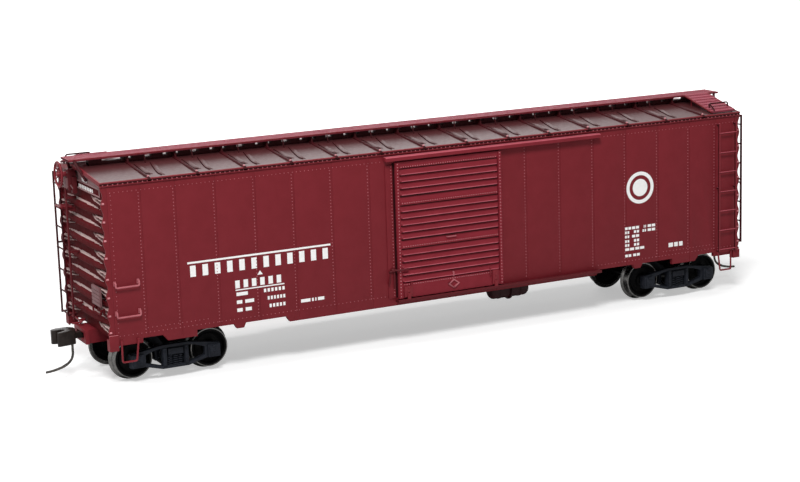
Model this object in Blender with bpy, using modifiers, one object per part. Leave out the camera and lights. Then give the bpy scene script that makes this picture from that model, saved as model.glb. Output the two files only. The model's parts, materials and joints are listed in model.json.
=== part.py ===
"""A 1:87 scale model of a fifty-foot steel boxcar with one sliding door on each side.

Metres, +Z up. X runs along the car, +X to its plain end and -X to its brake end. The near side
faces -Y. Z = 0 is the level that the wheel flanges stand on. The body has a half turn's symmetry
about Z, so most far pieces are near pieces turned by half a turn.
"""

import math

import bmesh
import bpy
from mathutils import Matrix, Vector

# Clearances
CLEARANCE = 0.0001
BEARING_CLEARANCE = 0.00008
SINK = 0.0002
CUT_OVERRUN = 0.0005
WELD_DISTANCE = 0.000001

# Wheelset
TREAD_RADIUS = 0.0048
FLANGE_HEIGHT = 0.00065
FLANGE_WIDTH = 0.0007
WHEEL_WIDTH = 0.0028
WHEEL_BACK_TO_BACK = 0.0144
RIM_DEPTH = 0.0009
PLATE_RECESS = 0.0006
HUB_RADIUS = 0.0018
AXLE_RADIUS = 0.00075
JOURNAL_LENGTH = 0.0016
AXLE_POINT_LENGTH = 0.0006
WHEEL_STEPS = 16

# Truck: two side frames and a bolster on two wheelsets
TRUCK_WHEELBASE = 0.01925
FRAME_INSET = 0.0013
FRAME_THICKNESS = 0.0015
FRAME_TOP_RISE = 0.0029
FRAME_SHOULDER_DROP = 0.0003
FRAME_BOTTOM_DROP = 0.0029
FRAME_CHORD = 0.0007
FRAME_SHOULDER = 0.0028
COLUMN_WIDTH = 0.0011
SPRING_WINDOW_WIDTH = 0.0044
JOURNAL_BOX_HALF = 0.00165
JOURNAL_BOX_DEPTH = 0.0022
FRAME_WEB = 0.0005
CENTRE_PLATE_RISE = 0.00435
CENTRE_PLATE_RADIUS = 0.0026
CENTRE_PLATE_HEIGHT = 0.0004
BOLSTER_WIDTH = 0.0038
BOLSTER_END_DEPTH = 0.0017
BOLSTER_END_RISE = 0.0020
BOLSTER_DEPTH = 0.0039
SPRING_RADIUS = 0.00085
SPRING_COILS = 3
SPRING_GROOVE = 0.00018
SPRING_STEPS = 6
KINGPIN_RADIUS = 0.0006
KINGPIN_HEAD_RADIUS = 0.0013
KINGPIN_HEAD_HEIGHT = 0.0004

# Underframe
TRUCK_OVERHANG = 0.0174
BODY_BOLSTER_DEPTH = 0.0026
BODY_BOLSTER_WIDTH = 0.0040
BODY_BOLSTER_PAD = 0.0030
DECK_THICKNESS = 0.0010
CENTRE_SILL_WIDTH = 0.0052
CENTRE_SILL_DEPTH = 0.0024
CENTRE_SILL_WEB = 0.0009
CENTRE_SILL_COVER = 0.0006
CROSSBEARER_THICKNESS = 0.0007
CROSSBEARER_DEPTH = 0.0019
CROSSBEARER_SHARES = (-0.7, -0.36, 0.36, 0.7)
BALLAST_LENGTH = 0.1400
BALLAST_WIDTH = 0.0270
BALLAST_THICKNESS = 0.0015

# Body shell
BODY_LENGTH = 0.1794
BODY_WIDTH = 0.0330
WALL = 0.0010
SIDE_HEIGHT = 0.0360
SILL_DROP = 0.0006
BELLY_DROP = 0.0020
BOLSTER_TAB_DROP = 0.0021
JACK_TAB_DROP = 0.00175
END_SKIRT_DROP = 0.0017
CORNER_DROP = 0.0028
CORNER_WIDTH = 0.0016

# Lower edge of a side from its middle to the truck centre:
# share of the truck centre's distance from the middle, drop below the deck's underside
INNER_EDGE_SHARES = (0.607, 0.620, 0.766, 0.773, 0.798, 0.808, 0.939, 0.939)
INNER_EDGE_DROPS = (BELLY_DROP, SILL_DROP, SILL_DROP, JACK_TAB_DROP, JACK_TAB_DROP, SILL_DROP,
                    SILL_DROP, BOLSTER_TAB_DROP)

# Lower edge from the truck centre to the corner: share of the overhang, drop
OUTER_EDGE_SHARES = (0.167, 0.238, 0.523, 0.523, 0.868, 0.868)
OUTER_EDGE_DROPS = (BOLSTER_TAB_DROP, SILL_DROP, SILL_DROP, END_SKIRT_DROP, END_SKIRT_DROP,
                    CORNER_DROP)

# Ribbed ends
END_SHEET = 0.0007
END_RIB_DEPTH = 0.0007
END_RIB_COUNT = 7
END_RIB_HEIGHT = 0.0030
END_RIB_LENGTH = 0.0312
END_RIB_START = 0.0036
END_RIB_TOP_MARGIN = 0.0038
DART_LENGTH = 0.0095
DART_HEIGHT = 0.0010
DART_DEPTH = 0.0004
CORNER_BLOCK_LENGTH = 0.0022
CORNER_BLOCK_DEPTH = 0.0004
CORNER_BLOCK_HEIGHT = 0.0038
END_PANEL_HEIGHT = 0.0021
END_PANEL_LENGTH = 0.0300
END_PANEL_DROP = 0.0006
END_PANEL_DEPTH = 0.00035

# A rib along the end: share of its half length, share of its full height and depth there
END_RIB_SHARES = ((-1.0, 0.2), (-0.6, 0.78), (0.0, 1.0), (0.6, 0.78), (1.0, 0.2))

# A rib's face: share of its height, share of its depth
RIB_FACE_SHARES = ((0.0, 0.0), (0.22, 0.8), (0.5, 1.0), (0.78, 0.8), (1.0, 0.0))

# Roof
ROOF_THICKNESS = 0.0009
ROOF_RISE = 0.0018
EAVE_OVERHANG = 0.0004
ROOF_END_OVERHANG = 0.0001
ROOF_PANEL_COUNT = 15
EAVE_RECESS = 0.0003
EAVE_LEDGE = 0.0003
ROOF_BEAD_WIDTH = 0.0007
ROOF_BEAD_HEIGHT = 0.00025
ROOF_BEAD_TOP = 0.0036

# Beads pressed in a roof panel: shares of the panel's length from its left seam at the bead's
# upper and lower end, share of the half width where the lower end is
ROOF_BEAD_SHARES = ((0.06, 0.26, 0.70), (0.37, 0.46, 0.82))
SEAM_CAP_WIDTH = 0.0008
SEAM_CAP_TOP = 0.0004
SEAM_CAP_HEIGHT = 0.0004

# Running boards
BOARD_OVERHANG = 0.0027
BOARD_WIDTH = 0.0062
BOARD_THICKNESS = 0.0006
BOARD_RISE = 0.0007
SLOT_ROWS = 3
SLOT_BAR = 0.00045
SLOT_END_BAR = 0.0008
SADDLE_THICKNESS = 0.0005
BOARD_BRACE_INSET = 0.0013
BOARD_BRACE_SPREAD = 0.0056
BOARD_BRACE_DROP = 0.0001
LATERAL_LENGTH = 0.0074
LATERAL_INSET = 0.0011
LATERAL_OUTER_GAP = 0.0007
LATERAL_LIFT = 0.0002
LATERAL_SLOTS = 6
LATERAL_GRAB_REACH = 0.0042
LATERAL_GRAB_HEIGHT = 0.0011

# Doors and tracks
DOOR_WIDTH = 0.0290
DOOR_LAP = 0.0010
DOOR_GAP = 0.00025
DOOR_SHEET = 0.0005
DOOR_RIB_DEPTH = 0.0005
DOOR_EDGE_WIDTH = 0.0012
DOOR_EDGE_DEPTH = 0.00035
DOOR_HEADER = 0.0019
DOOR_DROP = 0.0002
DOOR_TOP_LAP = 0.0006
DOOR_TRAVEL = 0.0290
DOOR_TOP_BAND = 0.0015
DOOR_BOTTOM_BAND = 0.0040
DOOR_SEAM_BAND = 0.00244
DOOR_SEAM_DEPTH = 0.0003
DOOR_RIB_COUNTS = (5, 5, 4)
DOOR_FOOT_WIDTH = 0.0019
DOOR_FOOT_HEIGHT = 0.0039
DOOR_FOOT_INSET = 0.0012
DOOR_CARD_HALF_WIDTH = 0.00165
DOOR_CARD_HALF_HEIGHT = 0.0012
DOOR_CARD_PLACE = (0.0009, 0.0020)

# A door rib from its foot up: share of the rib pitch, share of the rib's depth
DOOR_RIB_SHARES = ((0.0, 0.0), (0.12, 0.85), (0.26, 1.0), (0.78, 0.0))
TRACK_GAP = 0.00015
TRACK_LIP = 0.0003
TRACK_TOP = 0.0010
TRACK_HANG = 0.0004
TRACK_GROOVE = 0.00015
TRACK_CLOSED_END = 0.0032
TRACK_OPEN_END = 0.0023
LOWER_TRACK_DEPTH = 0.00075

# Ladders, grab irons and steps
WIRE_RADIUS = 0.00022
RUNG_RADIUS = 0.00024
RUNG_SIDES = 5
RUNG_COUNT = 7
STILE_WIDTH = 0.0005
STILE_DEPTH = 0.0004
LADDER_STANDOFF = 0.0007
LADDER_WIDTH = 0.0054
LADDER_CORNER_INSET = 0.0045
LADDER_TOP_GAP = 0.0014
LADDER_DROP = 0.0004
LADDER_END_MARGIN = 0.0005
RUNG_TOP_MARGIN = 0.0027
END_LADDER_WIDTH = 0.0049
END_LADDER_OFFSET = 0.00955
END_LADDER_FOOT = 0.0015
END_LADDER_TOP_GAP = 0.0001
GRAB_WIDTH = 0.0057
GRAB_DROP = 0.0011
GRAB_STANDOFF = 0.0009
GRAB_CORNER_INSET = 0.00495
GRAB_RISES = (0.0134, 0.0063)
END_GRAB_RISE = 0.0067
END_GRAB_OFFSET = 0.0112
STEP_WIDTH = 0.0042
STEP_TREAD = 0.0035
STEP_DEPTH = 0.0057
STEP_LAP = 0.00065
STEP_CORNER_INSET = 0.0029
STEP_RADIUS = 0.00025

# Uncoupling levers and tack boards on the ends
LEVER_STANDOFF = 0.0007
LEVER_RISE = 0.0008
LEVER_INNER = 0.0009
LEVER_OUTER = 0.0118
LEVER_REACH = 0.0026
LEVER_HANDLE = 0.0030
LEVER_BRACKET_SHARES = (0.2, 0.85)
TACK_BOARD_WIDTH = 0.0060
TACK_BOARD_HEIGHT = 0.0046
TACK_BOARD_THICKNESS = 0.0005
TACK_BOARD_OFFSET = 0.0103
TACK_BOARD_RISE = 0.0072

# Brake end gear
BRAKE_WHEEL_RADIUS = 0.0032
BRAKE_WHEEL_RIM = 0.0003
BRAKE_WHEEL_SPOKES = 5
BRAKE_WHEEL_RISE = 0.0007
BRAKE_WHEEL_STANDOFF = 0.0034
BRAKE_OFFSET = 0.0021
BRAKE_HUB_RADIUS = 0.0006
BRAKE_HUB_LENGTH = 0.0009
HOUSING_WIDTH = 0.0034
HOUSING_HEIGHT = 0.0048
HOUSING_BEVEL = 0.0005
BRAKE_ROD_RADIUS = 0.00025
BRAKE_ROD_STANDOFF = 0.0008
BRAKE_ROD_FOOT = 0.0010
PLATFORM_WIDTH = 0.0088
PLATFORM_REACH = 0.0042
PLATFORM_THICKNESS = 0.0004
PLATFORM_DROP = 0.0075
PLATFORM_NOTCH = 0.0016
BRACKET_THICKNESS = 0.0005
BRACKET_HEIGHT = 0.0024

# Brake gear below the floor: places are measured from the car's middle and its centre line
RESERVOIR_RADIUS = 0.0023
RESERVOIR_LENGTH = 0.0118
RESERVOIR_FLANGE = 0.0005
RESERVOIR_DROP = 0.0016
RESERVOIR_PLACE = (0.0215, -0.0085)
CYLINDER_RADIUS = 0.0017
CYLINDER_FLANGE = 0.0004
CYLINDER_LENGTH = 0.0070
CYLINDER_PLACE = (-0.0060, 0.0080)
PISTON_RADIUS = 0.0004
PISTON_LENGTH = 0.0045
VALVE_LENGTH = 0.0036
VALVE_WIDTH = 0.0028
VALVE_HEIGHT = 0.0030
VALVE_PLACE = (0.0170, 0.0090)
HANGER_THICKNESS = 0.0006
HANGER_HEIGHT = 0.0006
TANK_STEPS = 12
BRAKE_LEVER_LENGTH = 0.0110
BRAKE_LEVER_WIDTH = 0.0008
BRAKE_LEVER_THICKNESS = 0.0004
BRAKE_LINE_GAP = 0.0193
BRAKE_LINE_RADIUS = 0.00025

# Couplers and draft boxes
COUPLER_DROP = 0.0018
COUPLER_PIVOT_INSET = 0.0044
COUPLER_REACH = 0.0130
COUPLER_HEAD_LENGTH = 0.0054
COUPLER_HEAD_HEIGHT = 0.0034
COUPLER_HEAD_WIDTH = 0.0052
SHANK_WIDTH = 0.0017
SHANK_HEIGHT = 0.0014
SHANK_RING_RADIUS = 0.0015
PIVOT_POST_RADIUS = 0.0008
DRAFT_BOX_FRONT = 0.0018
DRAFT_BOX_WIDTH = 0.0072
DRAFT_SILL_WIDTH = 0.0048
DRAFT_BOX_LENGTH = 0.0092
DRAFT_BOX_DEPTH = 0.0034
DRAFT_POCKET_WIDTH = 0.0054
DRAFT_POCKET_BACK = 0.0019
STRIKER_WIDTH = 0.0090
STRIKER_THICKNESS = 0.0009
TRIP_PIN_RADIUS = 0.00028
TRIP_PIN_INSET = 0.0047

# The trip pin's curl below the head: run outward and drop, as shares of the next two sizes
TRIP_PIN_RUN = 0.0069
TRIP_PIN_DROP = 0.0082
TRIP_PIN_SHARES = ((0.0, -0.10), (0.0, 0.43), (0.05, 0.62), (0.18, 0.76), (0.41, 0.885),
                   (0.72, 0.97), (1.0, 1.0))

# The coupler head in plan: share of its length from the back, share of its width from the middle
COUPLER_HEAD_SHARES = ((0.0, 0.17), (0.08, 0.40), (0.45, 0.50), (0.86, 0.56), (0.92, 0.46),
                       (0.52, 0.25), (0.44, 0.04), (0.56, -0.08), (0.84, -0.04), (1.0, -0.12),
                       (1.0, -0.30), (0.72, -0.44), (0.20, -0.40), (0.0, -0.17))

# Levels and places that follow from the sizes above
FLANGE_RADIUS = TREAD_RADIUS + FLANGE_HEIGHT
AXLE_Z = FLANGE_RADIUS
CENTRE_PLATE_Z = AXLE_Z + CENTRE_PLATE_RISE
BASE_Z = CENTRE_PLATE_Z + CLEARANCE + BODY_BOLSTER_DEPTH
DECK_Z = BASE_Z + DECK_THICKNESS
SIDE_TOP_Z = BASE_Z + SIDE_HEIGHT
HALF_LENGTH = BODY_LENGTH / 2
HALF_WIDTH = BODY_WIDTH / 2
TRUCK_X = HALF_LENGTH - TRUCK_OVERHANG
END_DEPTH = END_SHEET + END_RIB_DEPTH
END_FACE_X = HALF_LENGTH - END_RIB_DEPTH
END_BACK_X = HALF_LENGTH - END_DEPTH
SIDE_END_X = END_BACK_X - CLEARANCE
ROOF_UNDER_Z = SIDE_TOP_Z + CLEARANCE
EAVE_Z = ROOF_UNDER_Z + ROOF_THICKNESS
RIDGE_Z = EAVE_Z + ROOF_RISE
ROOF_HALF_WIDTH = HALF_WIDTH + EAVE_OVERHANG
ROOF_HALF_LENGTH = HALF_LENGTH + ROOF_END_OVERHANG
ROOF_PANEL_PITCH = 2 * ROOF_HALF_LENGTH / ROOF_PANEL_COUNT
BOARD_END_X = ROOF_HALF_LENGTH + BOARD_OVERHANG
BOARD_UNDER_Z = RIDGE_Z + SEAM_CAP_HEIGHT + BOARD_RISE
BOARD_TOP_Z = BOARD_UNDER_Z + BOARD_THICKNESS
DOOR_TOP_Z = SIDE_TOP_Z - DOOR_HEADER
DOOR_BOTTOM_Z = BASE_Z - DOOR_DROP
DOOR_BACK_Y = HALF_WIDTH + DOOR_GAP
DOOR_FRONT_Y = DOOR_BACK_Y + DOOR_SHEET + DOOR_RIB_DEPTH
COUPLER_Z = BASE_Z - COUPLER_DROP
PIVOT_X = HALF_LENGTH - COUPLER_PIVOT_INSET
WHEEL_OUTER_Y = WHEEL_BACK_TO_BACK / 2 + WHEEL_WIDTH
FRAME_INNER_Y = WHEEL_OUTER_Y + FRAME_INSET
AXLE_END_Y = FRAME_INNER_Y + JOURNAL_LENGTH
SPRING_SEAT_Z = AXLE_Z - FRAME_BOTTOM_DROP + FRAME_CHORD
RAIL_SIDES = (("near", 1), ("far", -1))
CAR_ENDS = (("plain", 1), ("brake", -1))

HALF_TURN = Matrix.Rotation(math.pi, 4, "Z")

# Colour, roughness and metallic value of each finish
FINISHES = {
    "body": ((0.155, 0.020, 0.026, 1.0), 0.45, 0.0),
    "roof": ((0.150, 0.065, 0.065, 1.0), 0.55, 0.0),
    "board": ((0.230, 0.060, 0.070, 1.0), 0.50, 0.0),
    "underframe": ((0.030, 0.024, 0.024, 1.0), 0.60, 0.0),
    "truck": ((0.020, 0.020, 0.021, 1.0), 0.45, 0.0),
    "wheel": ((0.250, 0.245, 0.240, 1.0), 0.30, 0.9),
    "coupler": ((0.050, 0.040, 0.035, 1.0), 0.45, 0.6),
    "ballast": ((0.180, 0.180, 0.180, 1.0), 0.50, 0.8),
}


def new_collection(name):
    """Make a collection in the scene."""
    group = bpy.data.collections.new(name)
    bpy.context.scene.collection.children.link(group)
    return group


def put(name, data):
    """Make an object in the model's collection."""
    piece = bpy.data.objects.new(name, data)
    MODEL.objects.link(piece)
    return piece


def finish(piece, look):
    """Give a piece its own Principled material."""
    colour, roughness, metallic = FINISHES[look]
    material = bpy.data.materials.new(piece.name)
    material.use_nodes = True
    shader = material.node_tree.nodes["Principled BSDF"]
    shader.inputs["Base Color"].default_value = colour
    shader.inputs["Roughness"].default_value = roughness
    shader.inputs["Metallic"].default_value = metallic
    piece.data = piece.data.copy()
    piece.data.materials.clear()
    piece.data.materials.append(material)
    return piece


def face_out(work):
    """Make the faces of a closed bmesh agree, then turn them all out."""
    bmesh.ops.recalc_face_normals(work, faces=work.faces)
    if work.calc_volume(signed=True) < 0:
        bmesh.ops.reverse_faces(work, faces=work.faces)


def mesh_piece(name, work):
    """Turn a bmesh into an object with its faces pointing out."""
    face_out(work)
    mesh = bpy.data.meshes.new(name)
    work.to_mesh(mesh)
    work.free()
    return put(name, mesh)


def box(name, low, high):
    """Box between two opposite corners."""
    low, high = Vector(low), Vector(high)
    size = high - low
    work = bmesh.new()
    bmesh.ops.create_cube(work, size=1)
    work.transform(Matrix.Translation((low + high) / 2) @ Matrix.Diagonal((*size, 1)))
    return mesh_piece(name, work)


def round_bar(name, start, end, radius, sides):
    """Round bar between two points."""
    start, end = Vector(start), Vector(end)
    along = end - start
    work = bmesh.new()
    bmesh.ops.create_cone(work, cap_ends=True, segments=sides, radius1=radius, radius2=radius,
                          depth=along.length)
    turn = along.to_track_quat("Z", "Y").to_matrix().to_4x4()
    work.transform(Matrix.Translation((start + end) / 2) @ turn)
    return mesh_piece(name, work)


def loft(name, rings):
    """Closed solid through rings of as many points each, with flat ends."""
    work = bmesh.new()
    loops = [[work.verts.new(point) for point in ring] for ring in rings]
    for one, other in zip(loops, loops[1:]):
        for index in range(len(one)):
            after = (index + 1) % len(one)
            work.faces.new((one[index], one[after], other[after], other[index]))
    work.faces.new(loops[0])
    work.faces.new(loops[-1])
    return mesh_piece(name, work)


def flat_outline(name, outlines, thickness):
    """Flat curve in its local XY plane, its thickness centred on that plane."""
    curve = bpy.data.curves.new(name, "CURVE")
    curve.dimensions = "2D"
    curve.fill_mode = "BOTH"
    curve.extrude = thickness / 2
    for outline in outlines:
        spline = curve.splines.new("POLY")
        spline.points.add(len(outline) - 1)
        for point, (across, up) in zip(spline.points, outline):
            point.co = (across, up, 0, 1)
        spline.use_cyclic_u = True
    return put(name, curve)


def wire(name, points, radius):
    """Round wire through points."""
    curve = bpy.data.curves.new(name, "CURVE")
    curve.dimensions = "3D"
    curve.bevel_depth = radius
    curve.bevel_resolution = 1
    curve.use_fill_caps = True
    spline = curve.splines.new("POLY")
    spline.points.add(len(points) - 1)
    for point, place in zip(spline.points, points):
        point.co = (*place, 1)
    return put(name, curve)


def turned(name, profile, steps):
    """Profile of (radius, height) points, top to bottom, turned about the local Z axis."""
    mesh = bpy.data.meshes.new(name)
    points = [(radius, 0, height) for radius, height in profile]
    mesh.from_pydata(points, [(i, i + 1) for i in range(len(points) - 1)], [])
    piece = put(name, mesh)
    screw = piece.modifiers.new("Turned", "SCREW")
    screw.steps = steps
    screw.render_steps = steps
    screw.use_merge_vertices = True
    screw.merge_threshold = WELD_DISTANCE
    return piece


def as_mesh(piece):
    """Replace a piece by the plain mesh that its curve or modifiers give, with welded caps."""
    name = piece.name
    bpy.context.view_layer.update()
    graph = bpy.context.evaluated_depsgraph_get()
    mesh = bpy.data.meshes.new_from_object(piece.evaluated_get(graph))
    work = bmesh.new()
    work.from_mesh(mesh)
    bmesh.ops.remove_doubles(work, verts=work.verts, dist=WELD_DISTANCE)
    work.transform(piece.matrix_world)
    face_out(work)
    work.to_mesh(mesh)
    work.free()
    bpy.data.objects.remove(piece)
    mesh.name = name
    return put(name, mesh)


def stand(piece, turn, place=(0, 0, 0)):
    """Turn a piece and move it to its place."""
    piece.matrix_world = Matrix.Translation(place) @ turn
    return piece


# Turns of a flat outline: its X and Y become the car's X and Z, Y and Z, or X and Y
IN_XZ = Matrix.Rotation(math.pi / 2, 4, "X")
IN_YZ = Matrix.Rotation(math.pi / 2, 4, "Z") @ IN_XZ
IN_XY = Matrix.Identity(4)


def plate(name, outlines, thickness, turn, place=(0, 0, 0)):
    """Flat plate as a mesh, standing in one of the car's planes."""
    return as_mesh(stand(flat_outline(name, outlines, thickness), turn, place))


def combine(base, others, operation):
    """Join other solids to a piece, or cut them from it, and leave one plain mesh."""
    operands = bpy.data.collections.new(base.name + "_" + operation.lower())
    CUTTERS.children.link(operands)
    for other in others:
        MODEL.objects.unlink(other)
        operands.objects.link(other)
        other.hide_render = True
        other.display_type = "WIRE"
    boolean = base.modifiers.new("Combined", "BOOLEAN")
    boolean.operation = operation
    boolean.solver = "EXACT"
    boolean.operand_type = "COLLECTION"
    boolean.collection = operands
    result = as_mesh(base)
    for other in others:
        bpy.data.objects.remove(other)
    bpy.data.collections.remove(operands)
    return result


def fuse(base, others):
    """One solid out of several that overlap."""
    return combine(base, others, "UNION")


def cut(base, others):
    """A solid with others cut from it."""
    return combine(base, others, "DIFFERENCE")


def copy_of(piece, name, matrix):
    """Another object with the same mesh, moved by a matrix."""
    twin = put(name, piece.data)
    for modifier in piece.modifiers:
        again = twin.modifiers.new(modifier.name, modifier.type)
        again.steps = modifier.steps
        again.render_steps = modifier.render_steps
        again.use_merge_vertices = modifier.use_merge_vertices
        again.merge_threshold = modifier.merge_threshold
    bpy.context.view_layer.update()
    twin.matrix_world = matrix @ piece.matrix_world
    return twin


def pair(piece, look, far_name):
    """Finish a piece and its copy at the diagonally opposite place."""
    twin = copy_of(piece, far_name, HALF_TURN)
    finish(piece, look)
    finish(twin, look)
    return piece, twin


def mirrored(half):
    """Close a symmetric outline from the half at positive across values, middle first."""
    return list(half) + [(-across, up) for across, up in reversed(half)]


def rectangle(left, bottom, right, top):
    """Outline of a rectangle."""
    return [(left, bottom), (right, bottom), (right, top), (left, top)]


def roof_height(y, level):
    """Height of the roof's slope at a distance from the ridge, from its level at the eave."""
    return level + ROOF_RISE * (1 - abs(y) / ROOF_HALF_WIDTH)


def seam_places():
    """Places along the car of the roof's seam caps."""
    first = -ROOF_HALF_LENGTH + ROOF_PANEL_PITCH
    return [first + ROOF_PANEL_PITCH * index for index in range(ROOF_PANEL_COUNT - 1)]


def build_wheelset(name, place):
    """Axle with two flanged wheels, turned in one piece about the axle's own line."""
    back = WHEEL_BACK_TO_BACK / 2
    rim_inner = TREAD_RADIUS - RIM_DEPTH
    flange_start_share, flange_tip_share = 0.65, 0.3
    half = [
        (0, AXLE_END_Y),
        (AXLE_RADIUS, AXLE_END_Y - AXLE_POINT_LENGTH),
        (AXLE_RADIUS, WHEEL_OUTER_Y),
        (HUB_RADIUS, WHEEL_OUTER_Y),
        (HUB_RADIUS, WHEEL_OUTER_Y - PLATE_RECESS),
        (rim_inner, WHEEL_OUTER_Y - PLATE_RECESS),
        (rim_inner, WHEEL_OUTER_Y),
        (TREAD_RADIUS, WHEEL_OUTER_Y),
        (TREAD_RADIUS, back + FLANGE_WIDTH),
        (FLANGE_RADIUS, back + FLANGE_WIDTH * flange_start_share),
        (FLANGE_RADIUS, back + FLANGE_WIDTH * flange_tip_share),
        (rim_inner, back),
        (AXLE_RADIUS, back),
    ]
    profile = half + [(radius, -along) for radius, along in reversed(half)]
    wheelset = turned(name, profile, WHEEL_STEPS)
    return stand(wheelset, Matrix.Rotation(-math.pi / 2, 4, "X"), place)


def build_side_frame(name):
    """Near side frame of a truck that is centred at the origin."""
    half_base = TRUCK_WHEELBASE / 2
    top = AXLE_Z + FRAME_TOP_RISE
    bottom = AXLE_Z - FRAME_BOTTOM_DROP
    column_in = SPRING_WINDOW_WIDTH / 2
    column_out = column_in + COLUMN_WIDTH
    box_in = half_base - JOURNAL_BOX_HALF
    box_out = half_base + JOURNAL_BOX_HALF
    box_top = AXLE_Z + JOURNAL_BOX_HALF
    box_bottom = AXLE_Z - JOURNAL_BOX_HALF
    shoulder = box_in - FRAME_SHOULDER
    outline = mirrored([
        (column_out, top), (shoulder, top - FRAME_SHOULDER_DROP), (box_in, box_top + FRAME_WEB),
        (box_out, box_top), (box_out, box_bottom), (box_in, box_bottom), (column_out, bottom)])
    window = rectangle(-column_in, SPRING_SEAT_Z, column_in, top - FRAME_CHORD)
    gaps = []
    for side in (1, -1):
        gaps.append([(side * column_out, top - FRAME_CHORD),
                     (side * shoulder, top - FRAME_SHOULDER_DROP - FRAME_CHORD),
                     (side * (box_in - FRAME_WEB), box_top - FRAME_WEB),
                     (side * (box_in - FRAME_WEB), box_bottom + FRAME_CHORD),
                     (side * column_out, bottom + FRAME_CHORD)])
    middle_y = -(FRAME_INNER_Y + FRAME_THICKNESS / 2)
    frame = plate(name, [outline, window, *gaps], FRAME_THICKNESS, IN_XZ, (0, middle_y, 0))
    boxes = []
    holes = []
    for side in (1, -1):
        along = side * half_base
        boxes.append(box(name + "_box",
                         (along - JOURNAL_BOX_HALF + CLEARANCE, -FRAME_INNER_Y - JOURNAL_BOX_DEPTH,
                          box_bottom + CLEARANCE),
                         (along + JOURNAL_BOX_HALF - CLEARANCE, -FRAME_INNER_Y - SINK,
                          box_top - CLEARANCE)))
        holes.append(round_bar(name + "_hole", (along, -FRAME_INNER_Y + CUT_OVERRUN, AXLE_Z),
                               (along, -AXLE_END_Y - CLEARANCE, AXLE_Z),
                               AXLE_RADIUS + BEARING_CLEARANCE, TANK_STEPS))
    return cut(fuse(frame, boxes), holes)


def spring_profile(low, high):
    """Turned outline of a coil spring that stands between two heights."""
    pitch = (high - low) / SPRING_COILS
    profile = [(0, high), (SPRING_RADIUS - SPRING_GROOVE, high)]
    for index in range(SPRING_COILS):
        top = high - pitch * index
        profile.append((SPRING_RADIUS, top - pitch / 2))
        profile.append((SPRING_RADIUS - SPRING_GROOVE, top - pitch))
    return profile + [(0, low)]


def build_bolster(name):
    """Truck bolster with its four springs and the hole for the king pin, truck at the origin."""
    end_bottom = AXLE_Z + BOLSTER_END_RISE - BOLSTER_END_DEPTH
    end_top = AXLE_Z + BOLSTER_END_RISE
    bottom = CENTRE_PLATE_Z - BOLSTER_DEPTH
    end_y = FRAME_INNER_Y + FRAME_THICKNESS
    outline = mirrored([
        (CENTRE_PLATE_RADIUS, CENTRE_PLATE_Z),
        (CENTRE_PLATE_RADIUS, CENTRE_PLATE_Z - CENTRE_PLATE_HEIGHT),
        (FRAME_INNER_Y - CLEARANCE, end_top), (end_y, end_top), (end_y, end_bottom),
        (FRAME_INNER_Y - CLEARANCE, end_bottom), (CENTRE_PLATE_RADIUS, bottom)])
    bolster = plate(name, [outline], BOLSTER_WIDTH, IN_YZ)
    springs = []
    for side in (1, -1):
        for end in (1, -1):
            spring = turned(name + "_spring",
                            spring_profile(SPRING_SEAT_Z + CLEARANCE, end_bottom + SINK),
                            SPRING_STEPS)
            place = (end * BOLSTER_WIDTH / 4, side * (FRAME_INNER_Y + FRAME_THICKNESS / 2), 0)
            springs.append(as_mesh(stand(spring, IN_XY, place)))
    hole = round_bar(name + "_hole", (0, 0, bottom - CUT_OVERRUN),
                     (0, 0, CENTRE_PLATE_Z + CUT_OVERRUN), KINGPIN_RADIUS + BEARING_CLEARANCE,
                     TANK_STEPS)
    return cut(fuse(bolster, springs), [hole])


def build_truck(end, place_x, parts):
    """One truck: its parent empty on the swivel axis, bolster, side frames and wheelsets."""
    pivot = put("truck_" + end, None)
    pivot.location = (place_x, 0, CENTRE_PLATE_Z)
    bolster, frame, wheelset = parts
    shift = Matrix.Translation((place_x, 0, 0))
    members = [finish(copy_of(bolster, "bolster_" + end, shift), "truck")]
    for side, _ in RAIL_SIDES:
        turn = shift if side == "near" else shift @ HALF_TURN
        members.append(finish(copy_of(frame, f"side_frame_{end}_{side}", turn), "truck"))
    outward = 1 if place_x > 0 else -1
    for axle, step in (("outer", outward), ("inner", -outward)):
        slide = Matrix.Translation((place_x + step * TRUCK_WHEELBASE / 2, 0, 0))
        members.append(finish(copy_of(wheelset, f"wheelset_{end}_{axle}", slide), "wheel"))
    bpy.context.view_layer.update()
    for member in members:
        member.parent = pivot
        member.matrix_parent_inverse = pivot.matrix_world.inverted()


def build_trucks():
    """Both trucks from one bolster, one side frame and one wheelset."""
    bolster = build_bolster("bolster_pattern")
    frame = build_side_frame("side_frame_pattern")
    wheelset = build_wheelset("wheelset_pattern", (0, 0, AXLE_Z))
    for end, outward in CAR_ENDS:
        build_truck(end, outward * TRUCK_X, (bolster, frame, wheelset))
    for pattern in (bolster, frame, wheelset):
        bpy.data.objects.remove(pattern)


def side_edge():
    """Half of a side's outline, from the middle of its lower edge round to its upper corner."""
    half = []
    for share, drop in zip(INNER_EDGE_SHARES, INNER_EDGE_DROPS):
        half.append((TRUCK_X * share, BASE_Z - drop))
    overhang = HALF_LENGTH - TRUCK_X
    for share, drop in zip(OUTER_EDGE_SHARES, OUTER_EDGE_DROPS):
        half.append((TRUCK_X + overhang * share, BASE_Z - drop))
    half.append((SIDE_END_X, BASE_Z - CORNER_DROP))
    half.append((SIDE_END_X, SIDE_TOP_Z))
    return half


def build_sides():
    """Side sheets with their stepped lower edge and the door opening."""
    opening = rectangle(-DOOR_WIDTH / 2 + DOOR_LAP, DECK_Z, DOOR_WIDTH / 2 - DOOR_LAP,
                        DOOR_TOP_Z - DOOR_TOP_LAP)
    side = plate("side_near", [mirrored(side_edge()), opening], WALL, IN_XZ,
                 (0, -HALF_WIDTH + WALL / 2, 0))
    pair(side, "body", "side_far")


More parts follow.
